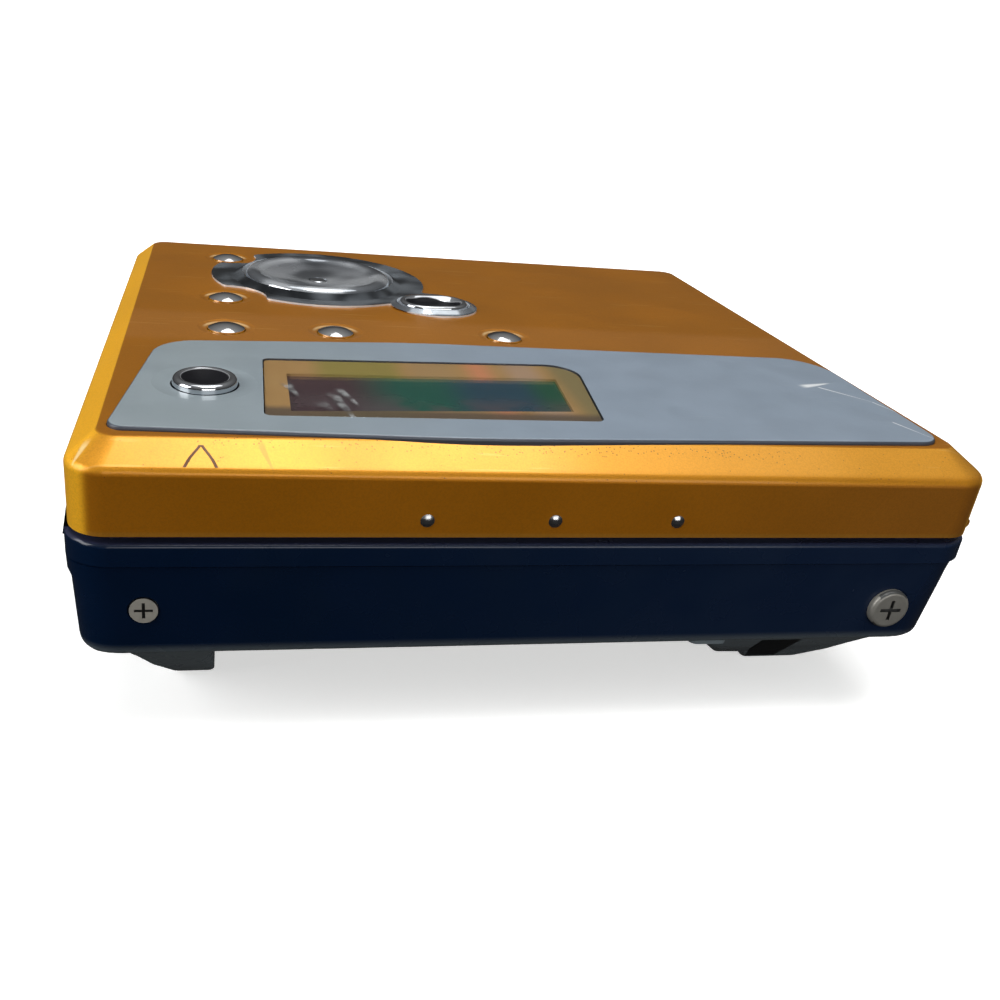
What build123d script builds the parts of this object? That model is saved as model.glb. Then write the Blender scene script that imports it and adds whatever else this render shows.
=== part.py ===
from build123d import *
import math
import os

os.makedirs("parts", exist_ok=True)

# Portable minidisc player. Millimetres, +Z up. The origin is the centre of the footprint on the surface it
# stands on. -Y is the disc mouth, +Y the hinge, +X the right-hand side.

# Overall shell
HALF_W = 40.65
HALF_D = 37.2
LID_TOP = 28.1
LID_BOTTOM = 20.57
RIM_TOP = 19.8
BAND_BOTTOM = 17.65
CASE_BOTTOM = 9.0
CORNER_R = 3.2
LID_WALL = 1.3
CASE_WALL = 1.2
ROOF_UNDER = 26.8

# Lid bevel: the front one widens from left to right
BEVEL_LOW = 26.15
SIDE_BEVEL = 2.43
FRONT_BEVEL_LEFT = 2.33
FRONT_BEVEL_RIGHT = 3.57
REAR_BEVEL = 1.9

# Lid hinge, along X at the back
HINGE_Y = 35.8
HINGE_Z = 20.2
BARREL_R = 1.6
PIN_R = 0.8
PIN_BORE_R = 0.85
KNUCKLE_IN = 24.0
KNUCKLE_OUT = 36.1
REAR_CUT_Y = 33.9
REAR_CUT_TOP = 22.4
REAR_RIM_TOP = 18.2

# Minidisc cartridge and its holder
DISC_BACK = 33.1
DISC_X = 0.0
DISC_Y = -1.0
HOLDER_IN = 36.35
HOLDER_SHEET = 0.4
HOLDER_TOP = 23.3

# Deck and board levels
FLOOR = CASE_BOTTOM + CASE_WALL
BOARD_Z = 10.9
BOARD_T = 0.6
DECK_Z = 16.05
DECK_T = 0.5
DRIVE_Z = 13.3

# Battery barrel along X at the back of the underside, for one AA cell
CELL_Y = 28.4
CELL_Z = 8.25
CELL_BORE_R = 7.4
BARREL_WALL = 0.85
BAY_X0 = -31.5
BAY_X1 = 23.5
DOOR_TILT = -40.0
DOOR_PIN_Y = 36.1
DOOR_PIN_Z = 12.1

# Lid electronics
INNER_FRAME_Z = 23.7
SWITCH_BOARD_Z = 24.75
SWITCH_TOP = 25.7
STEM_BOTTOM = 26.1

# Display strip and window
PANEL_FLOOR = 27.6
PANEL_TOP = 28.45
WINDOW_TOP = 28.3

# Controls
PAD_X = -17.0
PAD_Y = 18.5
PAD_R = 9.5
PAD_BORE_R = 9.75
PAD_TOP = 29.1
PAD_PIVOT_Z = 26.2
PLATE_FLOOR = 27.7
PLATE_TOP = 28.2
STOP_X = -4.0
STOP_Y = 7.4
STOP_TURN = 8.0
GROUP_X = -30.2
GROUP_Y = -23.0
ROUND_R = 1.9
ROUND_BORE_R = 2.0
ROUND_BUTTONS = [(-28.3, 27.5), (-28.5, 7.4), (-28.4, -4.7), (-16.9, -4.5), (2.1, -3.7)]
NUB_OUT = 0.3

# Front fastenings
RIVETS_X = [-12.1, -1.1, 10.0]
RIVET_Z = 22.1
LEFT_SCREW = (-34.8, 13.55)
RIGHT_SCREW = (33.8, 12.8)

# Sled drive
LENS_START_R = 15.5
GEAR_MODULE = 0.3
SCREW_Y = -13.5
SCREW_TEETH = 16
IDLER_TEETH = 16
PINION_TEETH = 8
GEAR_X0 = 34.9
GEAR_X1 = 36.3
GUIDE_Y = 11.5

BOTTOM = (Align.CENTER, Align.CENTER, Align.MIN)


def box(x0, x1, y0, y1, z0, z1):
    return Pos(x0, y0, z0) * Box(x1 - x0, y1 - y0, z1 - z0, align=(Align.MIN,) * 3)


def post(x, y, z0, z1, r):
    return Pos(x, y, z0) * Cylinder(r, z1 - z0, align=BOTTOM)


def rod(x0, x1, y, z, r):
    return Pos(x0, y, z) * Rot(0, 90, 0) * Cylinder(r, x1 - x0, align=BOTTOM)


def rod_y(x, z, y0, y1, r):
    return Pos(x, y0, z) * Rot(-90, 0, 0) * Cylinder(r, y1 - y0, align=BOTTOM)


def slab(x0, x1, y0, y1, z0, z1, r):
    centre = Pos((x0 + x1) / 2, (y0 + y1) / 2, z0)
    return extrude(centre * RectangleRounded(x1 - x0, y1 - y0, r), z1 - z0)


def outline(x0, x1, y0, y1, r, z):
    return Pos((x0 + x1) / 2, (y0 + y1) / 2, z) * RectangleRounded(x1 - x0, y1 - y0, r)


def rounded_polygon(points, radii, z):
    return make_face(Pos(0, 0, z) * FilletPolyline(*points, radius=radii, close=True))


def profile_x(points, x0, x1):
    """A prism along X from a Y-Z polygon."""
    face = make_face(Polyline(*[(x0, y, z) for y, z in points], close=True))
    return extrude(face, amount=x1 - x0, dir=(1, 0, 0))


def profile_y(points, y0, y1):
    face = make_face(Polyline(*[(x, y0, z) for x, z in points], close=True))
    return extrude(face, amount=y1 - y0, dir=(0, 1, 0))


def save(name, *pieces):
    shape = Compound(children=list(pieces)) if len(pieces) > 1 else pieces[0]
    export_step(shape, f"parts/{name}.step")


# ---------------------------------------------------------------- lid

def lid_top_outline(inset, z):
    """Top face outline of the lid. Its front edge is slanted, as the front bevel widens to the right."""
    x = HALF_W - SIDE_BEVEL - inset
    front_left = -HALF_D + FRONT_BEVEL_LEFT + inset
    front_right = -HALF_D + FRONT_BEVEL_RIGHT + inset
    back = HALF_D - REAR_BEVEL - inset
    r = 1.7
    return rounded_polygon([(-x, front_left), (x, front_right), (x, back), (-x, back)], [r] * 4, z)


def lid_block(inset, bottom, shoulder, top, top_inset):
    r = CORNER_R - inset
    x, y = HALF_W - inset, HALF_D - inset
    low = outline(-x, x, -y, y, r, shoulder)
    crown = loft([low, lid_top_outline(top_inset, top)], ruled=True)
    return slab(-x, x, -y, y, bottom, shoulder, r) + crown


def strip_face(grow, z):
    points = [(-37.7, -33.7), (-8, -34.75), (37.2, -33.1), (37.65, -8.5), (-9, -8.5), (-34.9, -11.0)]
    face = rounded_polygon(points, [1.4, 150, 2.4, 5.0, 60, 4.6], z)
    return offset(face, amount=grow) if grow else face


def window_face(grow, z):
    points = [(-25.3, -30.7), (4.7, -30.1), (7.0, -14.2), (-25.0, -15.7)]
    face = rounded_polygon(points, [0.7, 0.9, 3.0, 0.7], z)
    return offset(face, amount=grow) if grow else face


def plate_face(grow, z):
    """Escutcheon round the control pad, with a lobe for the stop button and a bay at each button beside it."""
    face = Pos(PAD_X + 0.1, PAD_Y) * Circle(13.4) + Pos(-3.7, 7.9) * Circle(5.1)
    face -= Pos(*ROUND_BUTTONS[0]) * Circle(3.7)
    face -= Pos(*ROUND_BUTTONS[1]) * Circle(4.7)
    face = offset(offset(face, amount=-0.7), amount=1.4)
    face = offset(face, amount=-0.7)
    if grow:
        face = offset(face, amount=grow)
    return Pos(0, 0, z) * face


def stop_face(length, width, z):
    return Pos(STOP_X, STOP_Y, z) * Rot(0, 0, STOP_TURN) * SlotOverall(length, width)


def dimple(x, y, surface, radius, depth):
    ball_r = (radius * radius + depth * depth) / (2 * depth)
    return Pos(x, y, surface - depth + ball_r) * Sphere(ball_r)


def lid_cover():
    shell = lid_block(0, LID_BOTTOM, BEVEL_LOW, LID_TOP, 0)
    rims = [e for e in shell.edges() if abs(e.center().Z - BEVEL_LOW) < 0.01]
    shell = fillet(rims, 0.9)
    tops = [e for e in shell.edges() if abs(e.center().Z - LID_TOP) < 0.01]
    shell = fillet(tops, 0.45)
    shell -= lid_block(LID_WALL, LID_BOTTOM - 1, BEVEL_LOW - 0.6, ROOF_UNDER, 0.85)
    for x in (-35.6, 35.6):
        for y in (-32.4, 31.0):
            shell += post(x, y, INNER_FRAME_Z + 0.5, ROOF_UNDER + 0.3, 1.7)
            shell -= post(x, y, INNER_FRAME_Z, 26.0, 0.55)
    # recesses for the strip and the escutcheon, and the way down to the switches
    shell -= extrude(strip_face(0.06, PANEL_FLOOR), 2)
    shell -= extrude(window_face(0, ROOF_UNDER - 0.5), 2)
    shell -= extrude(plate_face(0.05, PLATE_FLOOR), 2)
    shell -= post(PAD_X, PAD_Y, 26, 29, PAD_BORE_R)
    shell -= extrude(stop_face(8.6, 6.0, 26), 3)
    shell -= post(GROUP_X, GROUP_Y, 26, 29, 3.0)
    for x, y in ROUND_BUTTONS:
        shell -= dimple(x, y, LID_TOP, 3.0, 0.4)
        shell -= post(x, y, 26, 29, ROUND_BORE_R)
    for x in RIVETS_X:
        shell -= rod_y(x, RIVET_Z, -38, -35, 0.35)
    # the left side is shorter, where the case wall stands up beside it
    shell -= box(-42, -39, -34.7, REAR_CUT_Y, 20, 22.2)
    # hinge: open back edge, a long centre barrel and an ear at each end
    shell -= box(-42, 42, REAR_CUT_Y, 39, 20, REAR_CUT_TOP)
    spans = [(-KNUCKLE_IN + 0.3, KNUCKLE_IN - 0.3), (37.0, 40.4), (-40.4, -37.0)]
    for x0, x1 in spans:
        shell += rod(x0, x1, HINGE_Y, HINGE_Z, BARREL_R)
        shell += box(x0, x1, 35.0, 37.1, HINGE_Z, REAR_CUT_TOP + 0.4)
    for side in (-1, 1):
        x0, x1 = sorted((side * 18.0, side * 39.8))
        shell -= rod(x0, x1, HINGE_Y, HINGE_Z, PIN_BORE_R)
    # thumb nub outside the latch
    nub = Pos(HALF_W - 0.25, -34.3, 21.1) * Rot(90, 0, 0) * Cylinder(0.55, 1.8)
    return shell + nub


def latch_hook():
    """Catch plate behind the lid's right wall: a foot against the wall and a blade with an eye below it."""
    y0, y1 = -33.6, -31.9
    blade = profile_y([(37.6, 18.6), (38.1, 18.6), (38.5, 19.2), (38.5, 22.0), (HALF_W - LID_WALL, 22.9),
                       (HALF_W - LID_WALL, 25.2), (37.6, 25.2)], y0, y1)
    return blade - box(37, 39, -33.05, -32.45, 19.2, 20.2)


def lid_inner_frame():
    z0, z1 = INNER_FRAME_Z, INNER_FRAME_Z + 0.5
    plate = slab(-39.0, 39.0, -35.5, 33.2, z0, z1, 2.0)
    plate -= box(37.2, 40, -34.2, -31.3, z0 - 1, z1 + 1)
    for x in (-35.6, 35.6):
        for y in (-32.4, 31.0):
            plate -= post(x, y, z0 - 1, z1 + 1, 0.6)
            plate -= post(x, y, z0 - 1, z0 + 0.32, 1.2)
    for x in (-30, 0, 30):
        for y in (-27, 25):
            plate += post(x, y, z1, SWITCH_BOARD_Z, 1.3)
    for y in (-20, -6, 8, 20):
        plate -= slab(12, 32, y - 2.5, y + 2.5, z0 - 1, z1 + 1, 1.2)
    return plate


def lid_screws():
    z0 = INNER_FRAME_Z + 0.02
    screws = []
    for x in (-35.6, 35.6):
        for y in (-32.4, 31.0):
            head = post(x, y, z0, z0 + 0.3, 1.15) - box(x - 0.8, x + 0.8, y - 0.12, y + 0.12, z0, z0 + 0.15)
            head -= box(x - 0.12, x + 0.12, y - 0.8, y + 0.8, z0, z0 + 0.15)
            screws.append(head + post(x, y, z0 + 0.3, 25.9, 0.55))
    return screws


def display_panel():
    panel = extrude(strip_face(0, PANEL_FLOOR), PANEL_TOP - PANEL_FLOOR)
    rim = [e for e in panel.edges() if abs(e.center().Z - PANEL_TOP) < 0.01]
    panel = fillet(rim, 0.28)
    panel -= extrude(window_face(0, PANEL_FLOOR - 1), 3)
    panel -= dimple(GROUP_X, GROUP_Y, PANEL_TOP, 4.6, 0.3)
    return panel - post(GROUP_X, GROUP_Y, PANEL_FLOOR - 1, 30, 3.0)


def display_window():
    pane = extrude(window_face(-0.03, PANEL_FLOOR), WINDOW_TOP - PANEL_FLOOR)
    rim = [e for e in pane.edges() if abs(e.center().Z - WINDOW_TOP) < 0.01]
    return fillet(rim, 0.12)


def display_bezel():
    frame = extrude(window_face(-0.12, ROOF_UNDER), PANEL_FLOOR - ROOF_UNDER)
    inner = rounded_polygon([(-23.0, -28.6), (2.6, -28.0), (4.0, -17.2), (-22.9, -17.8)], [0.5] * 4, 26)
    return frame - extrude(inner, 3)


def lcd_module():
    body = slab(-25.8, 6.4, -31.0, -14.0, SWITCH_BOARD_Z + BOARD_T, ROOF_UNDER - 0.6, 0.6)
    glass = slab(-24.6, 5.4, -30.2, -15.6, ROOF_UNDER - 0.6, ROOF_UNDER, 0.3)
    return body + glass


def switch_board():
    board = slab(-37.4, 37.4, -30.3, 29.0, SWITCH_BOARD_Z, SWITCH_BOARD_Z + BOARD_T, 1.5)
    board -= slab(12, 33, -25, 20, SWITCH_BOARD_Z - 1, SWITCH_BOARD_Z + 2, 2)
    return board


def tact_switch(x, y):
    z = SWITCH_BOARD_Z + BOARD_T
    return box(x - 1.5, x + 1.5, y - 1.5, y + 1.5, z, z + 0.2) + post(x, y, z + 0.2, SWITCH_TOP, 1.0)


def tact_switches():
    places = list(ROUND_BUTTONS) + [(STOP_X, STOP_Y), (GROUP_X, GROUP_Y), (PAD_X, PAD_Y)]
    places += [(PAD_X + dx * 9.0, PAD_Y + dy * 9.0) for dx, dy in ((1, 0), (-1, 0), (0, 1), (0, -1))]
    return [tact_switch(x, y) for x, y in places]


def control_plate():
    plate = extrude(plate_face(0, PLATE_FLOOR), PLATE_TOP - PLATE_FLOOR)
    plate -= post(PAD_X, PAD_Y, 26, 30, PAD_BORE_R)
    plate -= Pos(PAD_X, PAD_Y, PLATE_TOP + 0.01) * Cone(PAD_BORE_R, 11.4, 0.36, align=(
        Align.CENTER, Align.CENTER, Align.MAX))
    return plate - extrude(stop_face(8.6, 6.0, 26), 4)


def lid_rivets():
    rivets = []
    for x in RIVETS_X:
        dome = Pos(x, -HALF_D + 0.8, RIVET_Z) * Sphere(1.0)
        head = dome & box(x - 1, x + 1, -HALF_D - 0.2, -HALF_D, RIVET_Z - 1, RIVET_Z + 1)
        rivets.append(head + rod_y(x, RIVET_Z, -HALF_D, -HALF_D + LID_WALL, 0.35))
    return rivets


def pad_saddles():
    """Two upright eyes on the switch board that carry the gimbal's pins."""
    eyes = []
    for side in (-1, 1):
        y = PAD_Y + side * 6.75
        eye = box(PAD_X - 0.9, PAD_X + 0.9, y - 0.4, y + 0.4, SWITCH_BOARD_Z + BOARD_T, PAD_PIVOT_Z + 0.8)
        eyes.append(eye - rod_y(PAD_X, PAD_PIVOT_Z, y - 1, y + 1, 0.38))
    return eyes


# ------------------------------------------------------------- controls

def pad_gimbal():
    """Ring between the pad and its saddles: it rocks left and right on the saddles, the pad rocks up and
    down on it."""
    ring = post(PAD_X, PAD_Y, PAD_PIVOT_Z - 0.3, PAD_PIVOT_Z + 0.3, 5.9)
    ring -= post(PAD_X, PAD_Y, PAD_PIVOT_Z - 1, PAD_PIVOT_Z + 1, 4.4)
    for side in (-1, 1):
        y0, y1 = sorted((PAD_Y + side * 5.6, PAD_Y + side * 7.1))
        ring += rod_y(PAD_X, PAD_PIVOT_Z, y0, y1, 0.33)
        x0, x1 = sorted((PAD_X + side * 5.6, PAD_X + side * 7.1))
        ring += rod(x0, x1, PAD_Y, PAD_PIVOT_Z, 0.33)
    return ring


def control_pad():
    """Round rocker with a bright rim and a dished face, hollow underneath."""
    half = [
        (0, 28.15), (7.2, 28.45), (8.2, 28.85), (8.75, PAD_TOP), (9.25, 28.95), (PAD_R, 28.6),
        (PAD_R, 26.35), (8.6, 26.35), (8.6, 27.55), (0, 27.55),
    ]
    section = make_face(Polyline(*[(r, 0, z) for r, z in half], close=True))
    pad = Pos(PAD_X, PAD_Y, 0) * revolve(section, Axis.Z)
    for side in (-1, 1):
        x = PAD_X + side * 6.75
        lug = box(x - 0.4, x + 0.4, PAD_Y - 0.9, PAD_Y + 0.9, 25.75, 27.7)
        pad += lug - rod(x - 1, x + 1, PAD_Y, PAD_PIVOT_Z, 0.38)
    return pad - post(PAD_X, PAD_Y, 27, 29, 1.25)


def play_button():
    knob = post(PAD_X, PAD_Y, STEM_BOTTOM, 28.2, 1.15) + post(PAD_X, PAD_Y, 26.9, 27.4, 1.9)
    dome = Pos(PAD_X, PAD_Y, 28.2 - 1.9) * Sphere(2.22)
    return knob + (dome & post(PAD_X, PAD_Y, 28.2, 28.6, 1.15))


def stop_button():
    cap = extrude(stop_face(8.3, 5.7, 26.9), 28.75 - 26.9)
    top = [e for e in cap.edges() if abs(e.center().Z - 28.75) < 0.01]
    cap = fillet(top, 0.4)
    dish = Pos(STOP_X, STOP_Y, 28.45 + 12) * Rot(0, 0, STOP_TURN) * Sphere(12)
    cap -= dish
    flange = extrude(stop_face(9.4, 6.8, 26.2), 0.5) + extrude(stop_face(8.3, 5.7, 26.6), 0.4)
    return cap + flange + post(STOP_X, STOP_Y, STEM_BOTTOM, 26.3, 1.2)


def round_button(x, y):
    cap_top, crown = 28.05, 28.55
    body = post(x, y, STEM_BOTTOM, 26.3, 1.0) + post(x, y, 26.25, 26.65, 2.5)
    body += post(x, y, 26.5, cap_top, ROUND_R)
    ball_r = (ROUND_R ** 2 + (crown - cap_top) ** 2) / (2 * (crown - cap_top))
    dome = Pos(x, y, crown - ball_r) * Sphere(ball_r)
    return body + (dome & post(x, y, cap_top - 0.2, crown + 0.5, ROUND_R))


def group_button():
    half = [
        (0, STEM_BOTTOM), (1.2, STEM_BOTTOM), (1.2, 26.25), (3.4, 26.25), (3.4, 26.65), (2.88, 26.65),
        (2.88, 28.5), (2.62, 28.8), (2.45, 29.12), (2.2, 29.15), (2.0, 29.0), (0, 28.85),
    ]
    section = make_face(Polyline(*[(r, 0, z) for r, z in half], close=True))
    return Pos(GROUP_X, GROUP_Y, 0) * revolve(section, Axis.Z)


# ------------------------------------------------------------------ case

def upper_frame():
    """Rim band of the case with the hinge knuckles and the raised left wall."""
    band = slab(-40.6, 40.6, -37.1, 37.1, BAND_BOTTOM, RIM_TOP, CORNER_R)
    rim = [e for e in band.edges() if abs(e.center().Z - RIM_TOP) < 0.01]
    band = fillet(rim, 0.4)
    low = [e for e in band.edges() if abs(e.center().Z - BAND_BOTTOM) < 0.01]
    band = chamfer(low, 0.15)
    band -= slab(-39.4, 39.4, -35.95, 35.9, BAND_BOTTOM - 1, RIM_TOP + 1, 2.0)
    # inner lip that closes the gap under the lid at the front and sides
    lip = slab(-39.5, 39.5, -36.0, 40, 19.3, 19.7, 1.9) + slab(-39.2, 39.2, -35.75, 40, 19.3, 21.5, 1.8)
    lip -= slab(-38.9, 38.9, -35.45, 45, 19, 22, 1.5) + box(-42, 42, 32.0, 46, 19, 22)
    band += lip
    wall = box(-40.7, -39.6, -34.3, 32.6, RIM_TOP - 0.5, 21.9)
    wall = fillet([e for e in wall.edges() if abs(e.center().Z - 21.9) < 0.01], 0.3)
    band += wall
    band -= box(-42, 42, REAR_CUT_Y, 39, REAR_RIM_TOP, 21)
    for side in (-1, 1):
        x0, x1 = sorted((side * KNUCKLE_IN, side * KNUCKLE_OUT))
        band += rod(x0, x1, HINGE_Y, HINGE_Z, BARREL_R)
        band += box(x0, x1, 34.7, 37.0, BAND_BOTTOM, HINGE_Z)
        band -= rod(x0 - 1, x1 + 1, HINGE_Y, HINGE_Z, PIN_R)
    # slot for the opening slider
    band -= box(39, 42, -31.6, -23.9, 18.2, 19.25)
    return band


def hinge_pins():
    return [rod(18.4, 39.4, HINGE_Y, HINGE_Z, PIN_R), rod(-39.4, -18.4, HINGE_Y, HINGE_Z, PIN_R)]


def case_shell(inset, top, bottom):
    high = outline(-40.45 + inset, 40.35 - inset, -36.95 + inset, 36.95 - inset, CORNER_R - inset, top)
    low = outline(-39.7 + inset, 38.9 - inset, -36.5 + inset, 36.5 - inset, CORNER_R - inset, bottom)
    return loft([high, low], ruled=True)


def foot(x_in, x_flat, x_out, rise, inset):
    """Front foot: a wedge under the case, flat on the ground between x_in and x_flat, rising outward."""
    side = 1 if x_out > x_in else -1
    inner = x_in + side * inset
    outer = x_out - side * inset
    points = [(inner, inset), (x_flat, inset), (outer, rise + inset), (outer, 12), (inner, 12)]
    front = make_face(Polyline(*[(x, -40, z) for x, z in points], close=True))
    across = extrude(front, amount=60, dir=(0, 1, 0))
    slope = inset * 1.2
    along = profile_x(
        [(-35.2 + slope, 10.6), (-26.4 + slope, 0), (-17.5 - slope, 0), (-9.5 - slope, 10.6)], -41, 41)
    wedge = across & along
    if inset:
        return wedge
    return fillet([e for e in wedge.edges() if e.center().Z < 7.5], 0.7)


def front_feet(inset):
    left = foot(-29.2, -32.8, -38.4, 3.0, inset)
    right = foot(21.1, 24.8, 37.4, 3.0, inset)
    return left, right


def lower_case():
    shell = case_shell(0, BAND_BOTTOM, CASE_BOTTOM)
    shell = fillet([e for e in shell.edges() if abs(e.center().Z - CASE_BOTTOM) < 0.01], 1.3)
    outer_r = CELL_BORE_R + BARREL_WALL
    barrel = rod(-39.0, 38.2, CELL_Y, CELL_Z, outer_r)
    barrel = fillet(barrel.edges().filter_by(GeomType.CIRCLE), 1.6)
    shell += barrel
    for each in front_feet(0):
        shell += each
    shell += slab(15.0, 18.9, -35.6, -32.0, 8.2, CASE_BOTTOM + 0.5, 0.8)
    # inside: one tub, with the battery barrel standing in it
    tub = case_shell(CASE_WALL, BAND_BOTTOM + 0.01, FLOOR)
    tub -= rod(-41, 41, CELL_Y, CELL_Z, outer_r) & box(-41, 41, 0, 40, -1, DECK_Z - 0.05)
    shell -= tub
    for each in front_feet(CASE_WALL):
        shell -= each
    shell -= rod(BAY_X0, BAY_X1, CELL_Y, CELL_Z, CELL_BORE_R)
    shell -= rod(BAY_X1 + 1.2, 37.0, CELL_Y, CELL_Z, CELL_BORE_R)
    shell -= box(BAY_X1 + 1.5, 36.6, 23.5, 33.0, 9, 17)
    # battery mouth, cut straight out at the door's tilt, and the room for the door's knuckles
    mouth = box(BAY_X0, BAY_X1, 0, 20, -7.45, 7.45)
    shell -= Pos(0, CELL_Y, CELL_Z) * Rot(DOOR_TILT, 0, 0) * mouth
    shell -= box(BAY_X0, BAY_X1, 34.9, 40, 6, DOOR_PIN_Z)
    shell -= rod(BAY_X0, BAY_X1, DOOR_PIN_Y, DOOR_PIN_Z, 1.25)
    for x0, x1 in ((-20.0, -12.0), (4.0, 12.0)):
        eye = rod(x0, x1, DOOR_PIN_Y, DOOR_PIN_Z, 0.95) + box(x0, x1, 35.15, 36.6, DOOR_PIN_Z, 14.0)
        shell += eye
    shell -= rod(BAY_X0, BAY_X1, DOOR_PIN_Y, DOOR_PIN_Z, 0.5)
    # bosses under the deck and the board
    for x in (-31.0, 31.0):
        for y in (-32.0, 17.0):
            shell += post(x, y, FLOOR - 0.2, DECK_Z, 1.6)
            shell -= post(x, y, 12.0, DECK_Z + 1, 0.55)
    for x, y in ((-22, -18), (-22, 12), (0, -20), (0, 14), (14, -20), (30, 8)):
        shell += post(x, y, FLOOR - 0.2, BOARD_Z, 1.2)
    # front screw seats
    x, z = LEFT_SCREW
    shell -= rod_y(x, z, -38, -36.35, 1.3)
    shell -= rod_y(x, z, -38, -34, 0.6)
    x, z = RIGHT_SCREW
    shell -= rod_y(x, z, -38, -36.7, 2.15)
    shell -= rod_y(x, z, -38, -34, 0.8)
    # sockets and the hold switch in the left wall
    for y in (-24.0, -14.5):
        shell -= rod(-42, -37, y, 13.8, 2.6)
    shell -= rod(-42, -37, 4.0, 13.8, 2.2)
    shell -= slab_x(-42, -37, -9.2, -0.8, 11.55, 15.85, 0.6)
    shell -= box(-42, -37, 10.6, 16.6, 13.4, 14.6)
    return shell


def slab_x(x0, x1, y0, y1, z0, z1, r):
    """A rounded rectangle in Y-Z, run along X."""
    sketch = Pos(x0, (y0 + y1) / 2, (z0 + z1) / 2) * Rot(0, 90, 0) * RectangleRounded(z1 - z0, y1 - y0, r)
    return extrude(sketch, amount=x1 - x0, dir=(1, 0, 0))


def battery_door():
    outer_r = CELL_BORE_R + BARREL_WALL
    ring = rod(BAY_X0 + 0.2, BAY_X1 - 0.2, CELL_Y, CELL_Z, outer_r)
    ring += box(BAY_X0 + 0.2, BAY_X1 - 0.2, CELL_Y, CELL_Y + outer_r, CELL_Z, 10.9)
    hollow = rod(BAY_X0, BAY_X1, CELL_Y, CELL_Z, CELL_BORE_R + 0.05)
    hollow += box(BAY_X0, BAY_X1, CELL_Y, CELL_Y + CELL_BORE_R + 0.05, CELL_Z, 11.2)
    door = ring - hollow
    keep = box(BAY_X0, BAY_X1, 0, 20, -7.2, 7.2)
    keep = Pos(0, CELL_Y, CELL_Z) * Rot(DOOR_TILT, 0, 0) * keep
    keep += box(BAY_X0, BAY_X1, 34.9, 40, 6, 10.9)
    door = (door & keep) - box(BAY_X0, BAY_X1, 30, 40, 10.9, 14)
    for x0, x1 in ((BAY_X0 + 1.5, -20.3), (-11.7, 3.7), (12.3, BAY_X1 - 1.5)):
        knuckle = rod(x0, x1, DOOR_PIN_Y, DOOR_PIN_Z, 0.95) + box(x0, x1, 35.9, 36.65, 10.6, DOOR_PIN_Z)
        door += knuckle
    door -= rod(BAY_X0, BAY_X1, DOOR_PIN_Y, DOOR_PIN_Z, 0.55)
    # thumb ridges
    for k in range(4):
        angle = math.radians(-78 + 7 * k)
        y = CELL_Y + (outer_r - 0.06) * math.cos(angle)
        z = CELL_Z + (outer_r - 0.06) * math.sin(angle)
        door -= rod(-9, 1, y + 0.16 * math.cos(angle), z + 0.16 * math.sin(angle), 0.3)
    return door


def battery_door_pin():
    return rod(BAY_X0 + 0.4, BAY_X1 - 0.4, DOOR_PIN_Y, DOOR_PIN_Z, 0.5)


def battery_contact_minus():
    """Bowed leaf on an upright plate."""
    plate = box(BAY_X0, BAY_X0 + 0.4, CELL_Y - 4.5, CELL_Y + 4.5, CELL_Z - 4.5, CELL_Z + 4.5)
    outer = make_face([
        ThreePointArc((BAY_X0 + 0.2, CELL_Y - 4, 0), (BAY_X0 + 2.6, CELL_Y, 0), (BAY_X0 + 0.2, CELL_Y + 4, 0)),
        ThreePointArc((BAY_X0 + 0.2, CELL_Y - 3.6, 0), (BAY_X0 + 2.25, CELL_Y, 0), (BAY_X0 + 0.2, CELL_Y + 3.6, 0)),
        Line((BAY_X0 + 0.2, CELL_Y - 4, 0), (BAY_X0 + 0.2, CELL_Y - 3.6, 0)),
        Line((BAY_X0 + 0.2, CELL_Y + 4, 0), (BAY_X0 + 0.2, CELL_Y + 3.6, 0)),
    ])
    return plate + Pos(0, 0, CELL_Z - 2) * extrude(outer, 4)


def battery_contact_plus():
    plate = box(BAY_X1 - 0.4, BAY_X1, CELL_Y - 4, CELL_Y + 4, CELL_Z - 4, CELL_Z + 4)
    return plate + rod(BAY_X1 - 0.9, BAY_X1 - 0.4, CELL_Y, CELL_Z, 2.2)


def case_screws():
    x, z = LEFT_SCREW
    flat = rod_y(x, z, -36.85, -36.35, 1.15) + rod_y(x, z, -36.35, -34.3, 0.55)
    flat -= box(x - 0.75, x + 0.75, -37, -36.6, z - 0.13, z + 0.13)
    flat -= box(x - 0.13, x + 0.13, -37, -36.6, z - 0.75, z + 0.75)
    x, z = RIGHT_SCREW
    head = rod_y(x, z, -37.4, -36.7, 2.0)
    head = fillet([e for e in head.edges() if abs(e.center().Y + 37.4) < 0.01], 0.4)
    head += rod_y(x, z, -36.7, -34.3, 0.75)
    head -= box(x - 1.1, x + 1.1, -37.5, -37.05, z - 0.2, z + 0.2)
    head -= box(x - 0.2, x + 0.2, -37.5, -37.05, z - 1.1, z + 1.1)
    return [flat, head]


# ------------------------------------------------------------- mechanism

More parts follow.
